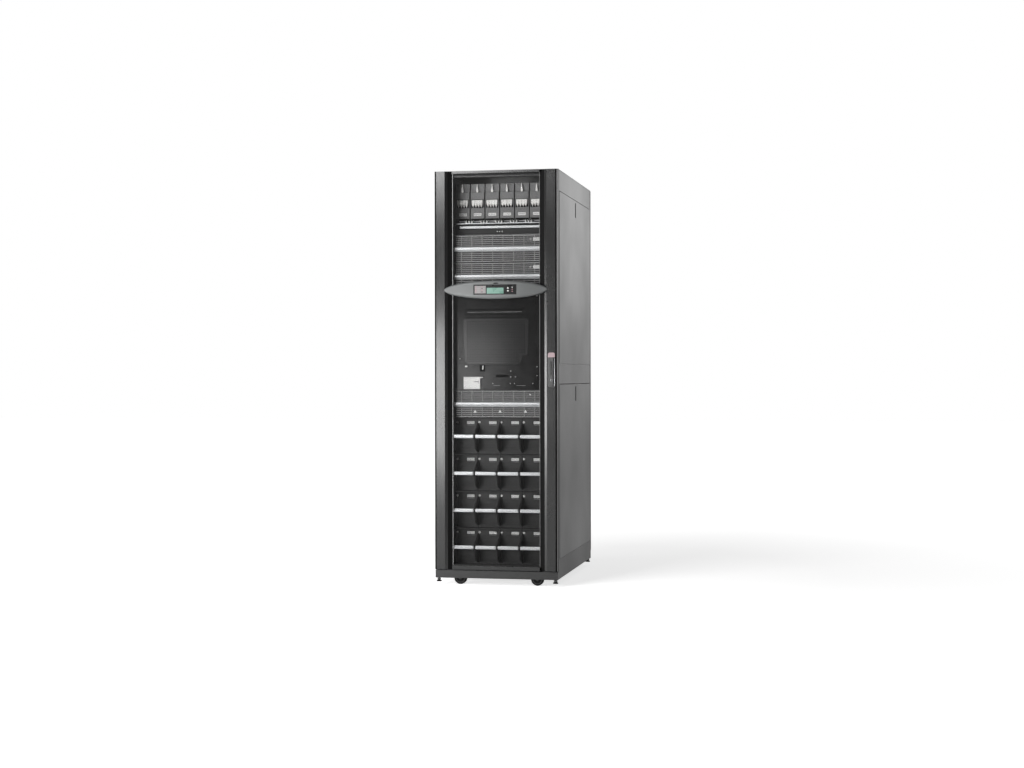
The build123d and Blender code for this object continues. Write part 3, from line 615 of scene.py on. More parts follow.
battery_rows, battery_columns = 4, 4
column_pitch, row_pitch = 0.1096, 0.1778
battery_low, battery_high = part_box("battery_modules")
bar_low, bar_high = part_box("battery_bars")
battery_places = [(column_pitch * (column - (battery_columns - 1) / 2), 0,
                   battery_low.z + row * row_pitch)
                  for row in range(battery_rows) for column in range(battery_columns)]


def one_of_many(low, high):
    """Half the width, and the height, of one battery module or its bar."""
    return ((high.x - low.x - (battery_columns - 1) * column_pitch) / 2,
            high.z - low.z - (battery_rows - 1) * row_pitch)


battery_half, battery_height = one_of_many(battery_low, battery_high)
bar_half, bar_height = one_of_many(bar_low, bar_high)


def battery_fronts():
    """Sixteen long cases, each with wings, cooling ribs, a label and a screw."""
    half, middle = battery_half, battery_height / 2
    nose_y = battery_low.y
    face_y, knee_y = nose_y + 0.082, nose_y + 0.025
    root_y = face_y + 0.001
    unit = Build()
    unit.block((-half, half), (face_y, battery_high.y), (0, battery_height), 0.0012, steps=2)
    cheek = 0.003
    outline = [(root_y, middle + 0.062), (nose_y, middle + bar_height / 2),
               (nose_y, middle - bar_height / 2), (knee_y, middle - 0.058),
               (root_y, middle - 0.08)]
    for x in (-half, half - cheek):
        unit.add(wing(outline, (x, x + cheek), 0.0004))
    rib_height, rib_proud, rib_pitch = 0.0016, 0.0015, 0.0075
    inner = half - cheek - 0.002
    for foot, count in ((middle + 0.012, 6), (middle - 0.072, 9)):
        unit.row(count, (0, 0, rib_pitch), (-inner, inner), (face_y - rib_proud, face_y),
                 (foot, foot + rib_height), 0.0004)
    label_y, label_z = face_y - 0.0007, middle + 0.0575
    unit.block((0.0, 0.037), (label_y, face_y), (label_z, label_z + 0.0135), 0.0002, 1)
    unit.row(6, (0.006, 0, 0), (0.002, 0.006), (label_y, face_y),
             (label_z - 0.0065, label_z - 0.004), mark=2)
    unit.row(2, (0.009, 0, 0), (0.004, 0.010), (label_y - 0.0001, label_y),
             (label_z + 0.0045, label_z + 0.0057), mark=2)
    screw = [(0.0056, 0.0), (0.0056, -0.0018), (0.0042, -0.003), (0.0015, -0.0034)]
    unit.add(turned(screw, (-half + 0.0065, face_y, middle + 0.0665), 18, 1))
    build = Build()
    build.repeat(unit, battery_places)
    build.piece("battery_cases", "module_black", [case_moulding, white_label, label_print],
                ["battery_modules"])


def battery_handles():
    """A bright bar across each module, with a dark insert near each end."""
    unit = Build()
    foot = bar_low.z - battery_low.z
    unit.bar((-bar_half, bar_half), (bar_low.y, bar_high.y), (foot, foot + bar_height))
    inset, thick, margin = 0.0015, 0.001, 0.001
    for side in (-1, 1):
        end = side * (bar_half - inset)
        unit.block((end, end - side * thick), (bar_low.y + 0.0005, bar_high.y),
                   (foot + margin, foot + bar_height - margin), 0.0003, 1)
    build = Build()
    build.repeat(unit, battery_places)
    build.piece("battery_handle_bars", "satin_bar", [satin_metal, dark_metal],
                ["battery_bars"])


battery_fronts()
battery_handles()


# Power modules

power_low, power_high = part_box("power_modules")
power_height, three_units = 0.13015, 0.13335
power_top = power_high.z - power_height
power_lows = (power_low.z, power_top - three_units, power_top)


def power_fronts():
    """Three cases with a grille of thin lips, uprights, a label and lamps or signs."""
    half, face_y = power_high.x, power_low.y
    lip_depth, lip_height, lip_pitch, lip_count = 0.006, 0.0034, 0.00945, 14
    upright, upright_pitch, first_upright = 0.0022, 0.0513, -0.18005
    border = 0.012
    back, across = face_y + lip_depth, (border - half, half - border)
    build = Build()
    for number, low in enumerate(power_lows):
        high = low + power_height
        top = high - 0.0018
        build.block((-half, half), (back, power_high.y), (low, high), 0.001, steps=2)
        for x in (-half, half - border):
            build.block((x, x + border), (face_y, back), (low, high), 0.0006)
        build.row(2, (0, 0, -(lip_count - 1) * lip_pitch), across, (face_y, back),
                  (top - lip_height, top), 0.0003, 4)
        top -= lip_pitch
        build.row(lip_count - 2, (0, 0, -lip_pitch), across, (face_y + 0.0008, back),
                  (top - lip_height, top), 0.0003, 1)
        build.row(8, (upright_pitch, 0, 0), (first_upright, first_upright + upright),
                  (face_y + 0.0002, back), (low + 0.003, high - 0.003), mark=1)
        if number:
            build.block((0.174, 0.209), (face_y - 0.0008, face_y + 0.001),
                        (high - 0.03, high - 0.016), 0.0002, 2)
            build.block((0.1765, 0.2035), (face_y - 0.001, face_y - 0.0007),
                        (high - 0.025, high - 0.022), mark=3)
            for dx, dz in ((0.0, 0.0), (0.006, 0.003), (0.006, -0.003)):
                build.add(turned([(0.0017, 0.0), (0.0017, -0.001), (0.001, -0.0014)],
                                 (0.1565 + dx, face_y + 0.0008, high - 0.023 + dz), 12, 2))
        else:
            for x in (-0.1115, 0.0110, 0.1355):
                z = low + 0.0285
                sign = [(x - 0.0075, z - 0.005), (x + 0.0075, z - 0.005), (x, z + 0.0085)]
                build.add(plate(sign, (face_y - 0.001, face_y + 0.001), 0.0003, 2))
            build.add(turned([(0.0035, 0.0), (0.0035, -0.001), (0.002, -0.0018)],
                             (0.158, face_y + 0.0008, high - 0.02), 16, 2))
    build.piece("power_cases", "module_black",
                [case_moulding, lip_moulding, white_label, label_print, rim_moulding],
                ["power_modules"])


def power_handles():
    """Round-fronted bars with a chin that slopes back under each, on two feet."""
    build = Build()
    low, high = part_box("power_bars")
    lift, height, chin = 0.002, 0.014, 0.009
    thick, shoulder, foot_reach = 0.009, 0.003, 0.018
    foot_x, foot_half, foot_margin = high.x - 0.024, 0.006, 0.0025
    nose, back = low.y, low.y + thick
    for module_low in power_lows:
        z0 = module_low + power_height / 2 + lift - height / 2
        z1 = z0 + height
        profile = [(back, z1), (nose + 0.004, z1 - 0.0002), (nose + 0.0018, z1 - 0.0012),
                   (nose + 0.0005, z1 - 0.003), (nose, z1 - 0.006),
                   (nose + 0.0002, z0 + shoulder), (nose + 0.0016, z0 - 0.0005),
                   (nose + 0.0052, z0 - chin * 0.55), (back - 0.0006, z0 - chin + 0.0004),
                   (back, z0 - chin + 0.0006)]
        build.add(wing(profile, (low.x, high.x), 0.0004))
        for middle in (-foot_x, foot_x):
            build.block((middle - foot_half, middle + foot_half),
                        (nose + thick / 2, nose + foot_reach),
                        (z0 + foot_margin, z1 - foot_margin), 0.0008, 1)
    build.piece("power_handle_bars", "satin_bar", [satin_metal, dark_metal], ["power_bars"])


power_fronts()
power_handles()


# Service panel


def service_face():
    """The service panel with its slot, screws, ledges and small fittings."""
    build = Build()
    chassis_low, chassis_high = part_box("service_chassis")
    face_y, half = chassis_low.y, chassis_high.x
    low, top = chassis_low.z, chassis_high.z
    back = face_y + 0.012
    slot_x0, slot_x1, slot_z0, slot_z1 = -0.0095, 0.0495, 1.0000, 1.0120
    build.block((-half, half), (back, chassis_high.y), (low, top), 0.001)
    for xs, zs in (((-half, half), (low, slot_z0)), ((-half, half), (slot_z1, top)),
                   ((-half, slot_x0), (slot_z0, slot_z1)),
                   ((slot_x1, half), (slot_z0, slot_z1))):
        build.block(xs, (face_y, back), zs)
    build.block((slot_x0, slot_x1), (back - 0.001, back), (slot_z0, slot_z1), mark=2)
    # Ledges: bright in lip_moulding, dark in black_coat
    dark, bright = 2, 4
    for x0, x1, z, height, proud, mark in (
            (-0.150, 0.118, 1.3130, 0.0014, 0.0045, bright),
            (-0.150, 0.130, 1.3225, 0.006, 0.002, dark),
            (-0.165, 0.150, 1.2990, 0.005, 0.002, dark),
            (-0.165, 0.120, 1.2845, 0.004, 0.002, dark),
            (-0.120, 0.175, 1.0560, 0.0014, 0.002, dark),
            (-0.022, 0.010, 0.9590, 0.0014, 0.002, bright),
            (0.090, 0.134, 0.9590, 0.0014, 0.002, bright)):
        build.block((x0, x1), (face_y - proud, face_y + 0.001), (z, z + height), mark=mark)
    for x, z in ((-0.026, 0.9700), (0.060, 0.9700), (0.080, 0.9700), (0.170, 0.9700),
                 (0.062, 1.0300), (0.085, 1.0020), (0.062, 1.0020), (0.190, 1.0080),
                 (0.190, 1.0500), (-0.188, 1.0900), (0.190, 1.3900), (-0.190, 1.3900)):
        build.add(screw_head((x, face_y, z), 0.0026, 0.0014, 1))
    lamp = [(-0.1565 + x, 1.0525 + z) for x, z in circle(24, 0.0062, 0.0045)]
    build.add(plate(lamp, (face_y - 0.004, face_y), 0.0015, 3, 3))
    latch = [(-0.0745, 1.0570), (-0.0690, 1.0570), (-0.0715, 1.0370), (-0.0770, 1.0370)]
    build.add(plate(latch, (face_y - 0.010, face_y), 0.0012, 3, 2))
    build.block((-0.0890, -0.0650), (face_y - 0.004, face_y), (1.0290, 1.0600), 0.0015, 2, 2)
    build.piece("service_panel", "bay_paint",
                [gloss_panel, rim_moulding, black_coat, white_label, lip_moulding],
                ["service_chassis"])


def service_vent_plate():
    """The vent plate, narrower towards its foot, with a folded border; its holes are flat black
    discs on the front that paint their shade.
    """
    build = Build()
    low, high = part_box("service_vent")
    border, edge = 0.007, 0.0004
    taper, notch_x, notch_z = 0.010, 0.030, 0.040
    outline = [(low.x + taper, low.z), (high.x - notch_x - taper, low.z),
               (high.x - notch_x, low.z + notch_z), (high.x - taper / 2, low.z + notch_z),
               (high.x, high.z), (low.x, high.z)]
    build.add(plate(outline, (low.y + 0.0012, high.y), edge))
    for (xa, za), (xb, zb) in zip(outline, outline[1:] + outline[:1]):
        length = math.hypot(xb - xa, zb - za)
        nx, nz = -(zb - za) / length * border, (xb - xa) / length * border
        build.add(plate([(xa, za), (xb, zb), (xb + nx, zb + nz), (xa + nx, za + nz)],
                        (low.y, high.y), edge))
    pitch, radius, first_share, sides = 0.0080, 0.0024, 0.6, 8
    for row in range(int((high.z - low.z - 2 * border) / pitch)):
        z = low.z + border + (row + first_share) * pitch
        limit = high.x - border - taper
        if z < low.z + notch_z + border:
            limit -= notch_x
        for column in range(int((high.x - low.x - 2 * border) / pitch)):
            x = low.x + border + taper + (column + first_share) * pitch
            if x <= limit:
                # Each hole is a flat black disc on the plate's front: painted shade, not an
                # opening.
                hole = [Vector((x + a, low.y + 0.0009, z + b))
                        for a, b in circle(sides, radius)]
                build.add((hole, [list(range(sides))], [1]))
    build.piece("service_vent_plate", "vent_grey", [vent_moulding, black_coat],
                ["service_vent"])


def service_pocket():
    """The white document pocket: a tray with a rolled lip and a tab."""
    build = Build()
    low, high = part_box("service_box")
    right = high.x - 0.013
    skin = (low.y + 0.0005, low.y + 0.0015)
    build.block((low.x, right), (low.y + 0.001, high.y), (low.z, high.z - 0.004), 0.0015,
                steps=3)
    build.block((low.x, high.x), (low.y, high.y), (high.z - 0.006, high.z), 0.0012, steps=3)
    build.block((right - 0.030, right - 0.006), skin, (high.z - 0.026, high.z - 0.021),
                0.0002, 1)
    build.block((low.x + 0.004, right - 0.004), skin, (low.z + 0.004, low.z + 0.006), 0.0003)
    build.piece("service_pocket_tray", "label_white", [white_label, label_print],
                ["service_box"])


service_face()
service_vent_plate()
service_pocket()


# Distribution unit

breaker_low, breaker_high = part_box("breaker_modules")
breaker_count, breaker_half = 6, 0.034
breaker_pitch = (breaker_high.x - breaker_low.x - 2 * breaker_half) / (breaker_count - 1)
breaker_places = [breaker_low.x + breaker_half + i * breaker_pitch
                  for i in range(breaker_count)]


def breakers():
    """Six breaker modules with a brow, a recess, a label and a lip, with painted shade in black
    behind the toggles and a painted shadow line under the brow.
    """
    brow_y, half = breaker_low.y, breaker_half
    low, high = breaker_low.z, breaker_high.z
    face_y = brow_y + 0.008
    root_y = face_y + 0.001
    toggle_low, toggle_high = low + 0.0772, low + 0.1136
    lip_high, brow_height, label_low = low + 0.016, 0.039, low + 0.0375
    whole, well = (-half, half), (0.0045 - half, half - 0.0045)
    unit = Build()
    unit.block(whole, (face_y, breaker_high.y), (low, high), 0.0012, steps=2)
    unit.block(whole, (brow_y, root_y), (toggle_high, toggle_high + brow_height), 0.0022,
               steps=3)
    unit.block(whole, (brow_y, root_y), (low, lip_high), 0.0015, 4, 2)
    unit.block((0.001 - half, half - 0.001), (brow_y + 0.0036, face_y),
               (lip_high, lip_high + 0.009), mark=4)
    # A thin black strip under the brow: painted shadow.
    unit.block(well, (brow_y - 0.0002, brow_y + 0.0005),
               (toggle_high + 0.0004, toggle_high + 0.0036), mark=4)
    # A black sheet behind the toggles: painted shade in the recess.
    unit.block(well, (face_y - 0.0012, face_y), (toggle_low, toggle_high), mark=4)
    unit.block(whole, (brow_y + 0.004, root_y), (lip_high, toggle_low), 0.0012, steps=2)
    for side in (-1, 1):
        unit.block((side * half, side * (half - 0.0035)), (brow_y, root_y),
                   (toggle_low, toggle_high), 0.0008)
    unit.block((-0.019, 0.019), (brow_y + 0.0032, brow_y + 0.005),
               (label_low, label_low + 0.0135), 0.0004, 1)
    unit.row(4, (0.0085, 0, 0), (-0.016, -0.010), (brow_y + 0.003, brow_y + 0.0035),
             (label_low + 0.0055, label_low + 0.008), mark=2)
    unit.block((-0.016, 0.016), (brow_y - 0.0004, brow_y + 0.001),
               (low + 0.008, low + 0.0135), 0.0003, 3)
    unit.row(4, (0, 0, 0.0042), (-0.027, 0.027), (brow_y + 0.003, brow_y + 0.005),
             (label_low + 0.0175, label_low + 0.0190))
    build = Build()
    build.repeat(unit, [(x, 0, 0) for x in breaker_places])
    build.piece("breaker_cases", "module_black",
                [breaker_grey, white_label, label_print, rim_moulding, black_coat],
                ["breaker_modules"])


def toggles():
    """Four white toggles a module, each with a pointed lower end."""
    low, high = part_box("breaker_toggles")
    count, width, notch, gap = 4, 0.054, 0.0185, 0.0002
    step = width / count
    build = Build()
    for x in breaker_places:
        for place in range(count):
            left = x - width / 2 + place * step + gap
            right = left + step - 2 * gap
            build.add(plate([(left, high.z), (left, low.z + notch),
                             ((left + right) / 2, low.z), (right, low.z + notch),
                             (right, high.z)], (low.y, high.y), 0.0009, steps=2))
    build.piece("breaker_toggle_rows", "toggle_white", [toggle_plastic], ["breaker_toggles"])


def pointers():
    """A pale spike above each breaker, wide at its foot."""
    low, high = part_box("breaker_pointers")
    half = 0.0055
    spike = [(half * 0.7, low.z), (half, low.z + 0.006), (half * 0.75, low.z + 0.014),
             (half * 0.14, high.z)]
    build = Build()
    for x in breaker_places:
        build.add(plate(mirrored(x, spike), (low.y, high.y), 0.0008, steps=2))
    build.piece("breaker_pointer_spikes", "pointer_grey", [toggle_plastic],
                ["breaker_pointers"])


def tray():
    """The tray under the breakers, with a bright lip and groups of three teeth."""
    build = Build()
    build.add(rolled("breaker_tray", 0.0005))
    low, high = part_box("breaker_tray")
    build.block((low.x + 0.012, high.x - 0.004), (low.y - 0.0008, low.y + 0.0022),
                (high.z - 0.0042, high.z + 0.0006), 0.0004, 1)
    pitch, width, height, slant = 0.0150, 0.0095, 0.0145, 0.0025
    for left, right in zip(breaker_places, breaker_places[1:]):
        for place in (-1, 0, 1):
            x, lean = (left + right) / 2 + place * pitch, place * slant
            tooth = [(x - lean - width * 0.22, high.z), (x - lean + width * 0.22, high.z),
                     (x + lean + width / 2, high.z + height),
                     (x + lean, high.z + height * 0.55),
                     (x + lean - width / 2, high.z + height)]
            build.add(plate(tooth, (low.y + 0.004, low.y + 0.012), 0.0006, 2))
    apron_y, screw_drop, slack = low.y + 0.022, 0.0405, 0.0006
    for x in (-0.010, 0.001, 0.014):
        build.add(screw_head((x, apron_y, high.z - screw_drop), 0.0028, 0.0016, 2))
    # A strip that closes the gap above the power modules
    build.block((low.x + 0.005, high.x - 0.005), (apron_y + 0.0002, apron_y + 0.0016),
                (power_high.z + slack, low.z - 0.0001), mark=3)
    build.piece("tray_sheet", "bay_paint", [bay_coat, satin_metal, white_label, lip_moulding],
                ["breaker_tray"])


def cable_bar():
    """The bright rod for cables, on two short arms."""
    build = Build()
    low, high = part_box("cable_bar")
    rod, arm_inset, arm_half, arm_margin = 0.009, 0.024, 0.006, 0.0015
    build.bar((low.x, high.x), (low.y, low.y + rod), (low.z, high.z))
    for x in (low.x + arm_inset, high.x - arm_inset):
        build.block((x - arm_half, x + arm_half), (low.y + 0.004, high.y),
                    (low.z + arm_margin, high.z - arm_margin), 0.0006, 1)
    build.piece("cable_bar_rod", "satin_bar", [satin_metal, dark_metal], ["cable_bar"])


breakers()
toggles()
pointers()
tray()
cable_bar()


# Display bezel

bezel_low, bezel_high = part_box("display_bezel")
bezel_half = bezel_high.x
bezel_z = (bezel_low.z + bezel_high.z) / 2
bezel_rise = (bezel_high.z - bezel_low.z) / 2
bezel_tip_drop = 0.0125
display_low, display_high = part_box("display_panel")
display_front = display_low.y


def bow(x):
    """How far the bowed front has fallen at x."""
    radius = (bezel_half ** 2 + bezel_tip_drop ** 2) / (2 * bezel_tip_drop)
    return radius - math.sqrt(radius ** 2 - x ** 2)


def bowed(shell):
    """A flat part bent to the bow of the bezel's front."""
    points, faces, marks = shell
    return [Vector((p.x, p.y + bow(p.x), p.z)) for p in points], faces, marks


def stile_face(x):
    """Where the door's face lies behind the bezel."""
    x, face = abs(x), door_low.y
    ridge_fall, band_fall = 0.009, 0.006
    if x > stile_ridge:
        return face
    if x > stile_foot:
        return face + ridge_fall * (stile_ridge - x) / (stile_ridge - stile_foot)
    if x > stile_window:
        return face + ridge_fall + band_fall * (stile_foot - x) / (stile_foot - stile_window)
    return mesh_low.y


def eased(place, count):
    """Steps from -1 to 1 that are closer together near their ends."""
    return math.sin(math.pi / 2 * (2 * place / count - 1))


def bezel_cap():
    """An oval cap, bowed across and domed towards its rim, with a small dark oval."""
    build = Build()
    columns, rows = 96, 20
    rim_drop, tip_rise = 0.0075, 0.0006
    points, faces = [], []
    for i in range(columns + 1):
        x = bezel_half * eased(i, columns)
        rise = max(bezel_rise * math.sqrt(max(1 - (x / bezel_half) ** 2, 0)), tip_rise)
        front, back = bezel_low.y + bow(x), stile_face(x)
        for j in range(rows + 1):
            t = eased(j, rows)
            dome = min(rim_drop, (back - front) * 0.8) * (1 - (1 - abs(t) ** 5) ** 0.5)
            points.append(Vector((x, front + dome, bezel_z + rise * t)))
        points.extend(Vector((x, back, bezel_z + side * rise)) for side in (1, -1))
    span = rows + 3
    for i in range(columns):
        for j in range(span):
            a, b = i * span + j, (i + 1) * span + j
            after = (j + 1) % span - j
            faces.append([a, b, b + after, a + after])
    faces.append(list(range(span - 1, -1, -1)))
    faces.append([columns * span + j for j in range(span)])
    build.add((points, faces, [0] * len(faces)))
    ellipse = [(0.005 + x, bezel_z + 0.0295 + z) for x, z in circle(32, 0.0135, 0.0032)]
    build.add(plate(ellipse, (bezel_low.y - 0.0004, bezel_low.y + 0.004), 0.0002, 1))
    build.piece("bezel_lens_cap", "bezel_grey", [bezel_moulding, display_black],
                ["display_bezel"], "front_door", 50)


def strip(xs, zs, proud, depth, edge=0.0, mark=0, columns=1):
    """A flat part that follows the bow, in columns narrow enough to bend."""
    (x0, x1), (z0, z1) = xs, zs
    places = [x0 + (x1 - x0) * i / columns for i in range(columns + 1)]
    outline = [(x, z1) for x in places] + [(x, z0) for x in reversed(places)]
    last = len(outline) - 1
    cells = [(i, i + 1, last - 1 - i, last - i) for i in range(columns)]
    front = display_front + proud
    return bowed(plate(outline, (front, front + depth), edge, mark, 2, cells))


def display_frame():
    """The black frame with a legend area of small lamps beside the screen."""
    build = Build()
    x0, x1, z0, z1 = display_low.x, display_high.x, display_low.z, display_high.z
    rim, depth, film = 0.0045, 0.006, 0.001
    build.add(strip((x0, x1), (z0, z1), 0.0006, depth, 0.0004, 0, 24))
    for zs in ((z0, z0 + rim), (z1 - rim, z1)):
        build.add(strip((x0, x1), zs, 0.0, depth, 0.0003, 0, 24))
    for xs in ((x0, x0 + rim), (x1 - rim, x1), (-0.0425, -0.0395)):
        build.add(strip(xs, (z0, z1), 0.0, depth, 0.0003, 0, 2))
    build.add(strip((-0.0985, -0.0435), (z0 + 0.006, z1 - 0.006), 0.0003, film, 0.0002, 1, 8))
    for row in range(4):
        z = z0 + 0.0115 + row * 0.0083
        lamp, dash = (z, z + 0.0035), (z + 0.0005, z + 0.0027)
        build.add(strip((-0.0945, -0.0905), lamp, 0.0, film, mark=2))
        build.add(strip((-0.0640, -0.0600), lamp, 0.0, film, mark=2 if row % 2 else 0))
        for xs in ((-0.0870, -0.0700), (-0.0570, -0.0480)):
            build.add(strip(xs, dash, 0.00015, film, mark=3, columns=2))
    well = [(0.064 + x, (z0 + z1) / 2 + z) for x, z in circle(32, 0.0115, 0.0185)]
    build.add(bowed(plate(well, (display_front + 0.0001, display_front + film), 0.0002)))
    build.piece("display_frame_plate", "display_black",
                [display_black, legend_plastic, legend_red, label_print],
                ["display_panel"], "front_door")


def display_glass():
    """The green screen."""
    build = Build()
    low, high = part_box("display_screen")
    build.add(strip((low.x, high.x), (low.z, high.z), 0.0003, 0.002, 0.0003, 0, 8))
    build.piece("display_screen_glass", "screen_green", [screen_glass], ["display_screen"],
                "front_door")


def keys():
    """Two white triangles for the arrow keys, and three small keys beside them."""
    build = Build()
    low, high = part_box("display_keys")
    middle = (low.z + high.z) / 2
    arrow_x, arrow_half, arrow_rise, key_rise = 0.064, 0.0046, 0.0075, 0.010
    for side in (-1, 1):
        z = middle + side * arrow_rise
        arrow = [(arrow_x - arrow_half, z - side * 0.0035),
                 (arrow_x + arrow_half, z - side * 0.0035), (arrow_x, z + side * 0.0045)]
        build.add(bowed(plate(arrow, (display_front - 0.0004, display_front + 0.001),
                              0.0004)))
    for side, mark in ((-1, 2), (0, 2), (1, 0)):
        z = middle + side * key_rise
        build.add(strip((0.0805, 0.0895), (z - 0.003, z + 0.003), -0.0004, 0.0014, 0.0005, 1))
        build.add(strip((0.0822, 0.0878), (z - 0.0016, z + 0.0016), -0.0006, 0.001, 0.0002,
                        mark))
    build.piece("display_key_caps", "key_grey", [white_label, display_black, legend_red],
                ["display_keys"], "front_door")


bezel_cap()
display_frame()
display_glass()
keys()


# Door handle

plate_low, plate_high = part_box("handle_plate")
lever_low, lever_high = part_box("handle_lever")
handle_x = (plate_low.x + plate_high.x) / 2


def handle_escutcheon():
    """The long plate, with the block above the lever and a bright strip beside it."""
    build = Build()
    y0 = plate_low.y + 0.003
    half = (plate_high.x - plate_low.x) / 2
    corner, block_height = 0.005, 0.022
    z0, z1 = plate_low.z, plate_high.z
    crown = [(half, z1 - corner), (half - corner, z1)]
    outline = mirrored(handle_x, [(half - corner, z0), (half, z0 + corner)] + crown)
    build.add(plate(outline, (y0, door_low.y), 0.0008, steps=2))
    outline = mirrored(handle_x, [(half, z1 - block_height)] + crown)
    build.add(plate(outline, (plate_low.y, y0 + 0.0003), 0.0012, 1, 3))
    strip_right, strip_width = handle_x + half - 0.0005, 0.003
    build.block((strip_right - strip_width, strip_right), (y0 - 0.0025, y0 + 0.0005),
                (lever_low.z, lever_high.z), 0.0008, 2, 2)
    build.piece("handle_escutcheon", "handle_black",
                [handle_moulding, pink_block, bright_metal], ["handle_plate"], "front_door")


def handle_grip():
    """The lever: a slim tapered grip with a flush black strip down its face that paints the
    shade of a hollow, and a lock barrel.
    """
    build = Build()
    low, high = lever_low, lever_high
    half, waist = (high.x - low.x) / 2, 0.0085
    slot_half, slot_low = 0.0054, high.z - 0.009
    outline = mirrored(handle_x, [
        (half * 0.55, low.z), (half, low.z + 0.006), (half, low.z + 0.03),
        (waist, low.z + 0.055), (half, high.z - 0.03), (half, high.z - 0.0027),
        (half - 0.001, high.z), (slot_half, high.z), (slot_half, slot_low)])
    build.add(plate(outline, (low.y, high.y), 0.0013, steps=3))
    barrel = [(0.0058, 0.0), (0.0058, -0.0004), (0.0045, -0.0007), (0.004, -0.0002),
              (0.0012, -0.0002)]
    build.add(turned(barrel, (handle_x + 0.001, low.y + 0.0005, low.z + 0.028), 28, 1))
    # A flush black strip on the grip's face: painted shade of a hollow.
    build.block((handle_x - 0.0045, handle_x + 0.0045), (low.y, low.y + 0.0012),
                (low.z + 0.05, low.z + 0.115), 0.0005, 2)
    build.piece("handle_grip", "handle_black", [handle_moulding, bright_metal, display_black],
                ["handle_lever"], "handle_lever")


handle_escutcheon()
handle_grip()
keep(["handle_hub"], dark_metal)


# Levelling feet


def feet():
    """Four feet: a dished pad, a lock nut and a threaded stem."""
    low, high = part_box("levelling_feet")
    build, unit = Build(), Build()
    radius, pad_high, turn = 0.013, 0.008, 0.0016
    z = low.z
    unit.add(turned([(radius - 0.0012, z), (radius, z + 0.0012), (radius, z + 0.004),
                     (0.009, z + 0.0075), (0.0065, z + pad_high)], (0, 0, 0), 36, axis="Z"))
    unit.add(hexagon_nut((0, 0, z + 0.0125), 0.0095, 0.006, 1, "Z"))
    core, crest, root = 0.0055, 0.0059, 0.0052
    thread = [(core, z + pad_high)]
    for k in range(int((high.z - z - pad_high) / turn)):
        thread += [(crest, z + pad_high + (k + 0.35) * turn),
                   (root, z + pad_high + (k + 0.85) * turn)]
    unit.add(turned(thread + [(core, high.z)], (0, 0, 0), 18, 1, "Z"))
    build.repeat(unit, [(x, y, 0) for x in (low.x + radius, high.x - radius)
                        for y in (low.y + radius, high.y - radius)])
    build.piece("foot_screws", "zinc_steel", [tyre_rubber, dark_metal], ["levelling_feet"])


feet()


# Casters


def wheel(name):
    """A hard tyre on a dished hub with studs, the same on both sides."""
    low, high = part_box("wheel_" + name)
    centre = (low + high) / 2
    radius, half = (high.z - low.z) / 2, (high.y - low.y) / 2
    bore, dish, stud_half, studs = 0.0041, 0.004, 0.0012, 6
    build = Build()
    side_profile = [(0.0235, half - 0.0015), (radius - 0.004, half),
                    (radius - 0.0012, half - 0.0012), (radius, half - 0.004)]
    tyre = [(r, -y) for r, y in side_profile] + side_profile[::-1]
    build.add(turned(tyre, centre, 56))
    for side in (-1, 1):
        face = side * (half - 0.0012)
        floor = face - side * dish
        build.add(turned([(bore, 0.0), (0.0225, 0.0), (0.0232, face), (0.0205, face),
                          (0.019, floor), (0.010, floor), (0.0085, face), (bore, face)],
                         centre, 40, 1))
    for x, z in circle(studs, 0.0145):
        for side in (-1, 1):
            place = centre + Vector((x, side * (half - 0.0036), z))
            build.add(turned([(0.0017, -stud_half), (0.0017, stud_half)], place, 10, 1))
    build.piece("caster_wheel_" + name + "_tyre", "wheel_grey",
                [tyre_rubber, handle_moulding], ["wheel_" + name], "caster_wheel_" + name, 35)


def fork(name):
    """Two pressed legs under a domed crown, with the axle bolt and its nut."""
    low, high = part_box("fork_" + name)
    wheel_low, wheel_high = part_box("wheel_" + name)
    axle = (wheel_low + wheel_high) / 2
    side = 1 if axle.x > 0 else -1
    swivel_x = axle.x + side * 0.022
    crown_high = high.z - 0.003
    crown_low = crown_high - 0.004
    leg, inner = 0.003, (wheel_high.y - wheel_low.y) / 2 + 0.002
    near, far = swivel_x + side * 0.009, axle.x - side * 0.009
    tip, leg_top = 0.0068, crown_low + 0.001
    build = Build()
    build.block((near, far), (axle.y - inner - leg, axle.y + inner + leg),
                (crown_low, crown_high), 0.0012, steps=2)
    round_end = [(axle.x + tip * math.cos(a), axle.z + tip * math.sin(a))
                 for a in [math.radians(200 + 14 * k) for k in range(11)]]
    outline = [(min(near, far), leg_top)] + round_end + [(max(near, far), leg_top)]
    for leg_side in (-1, 1):
        ys = sorted((axle.y + leg_side * inner, axle.y + leg_side * (inner + leg)))
        build.add(plate(outline, ys, 0.0005))
        build.add(hexagon_nut((axle.x, axle.y + leg_side * (inner + leg / 2), axle.z),
                              0.0062, leg))
    build.add(turned([(0.004, low.y - axle.y), (0.004, high.y - axle.y)], axle, 24))
    build.add(turned([(0.0085, crown_high - 0.0005), (0.0085, crown_high),
                      (0.006, crown_high), (0.006, high.z)], (swivel_x, axle.y, 0), 32,
                     axis="Z"))
    build.piece("caster_fork_" + name + "_legs", "zinc_steel", [dark_metal],
                ["fork_" + name], "caster_fork_" + name)


for wheel_name in ("front_right", "front_left", "rear_right", "rear_left"):
    wheel(wheel_name)
    fork(wheel_name)
dress("caster_plates", "caster_mounting_plates", "zinc_steel", [dark_metal], 0.0004)


# Rear doors


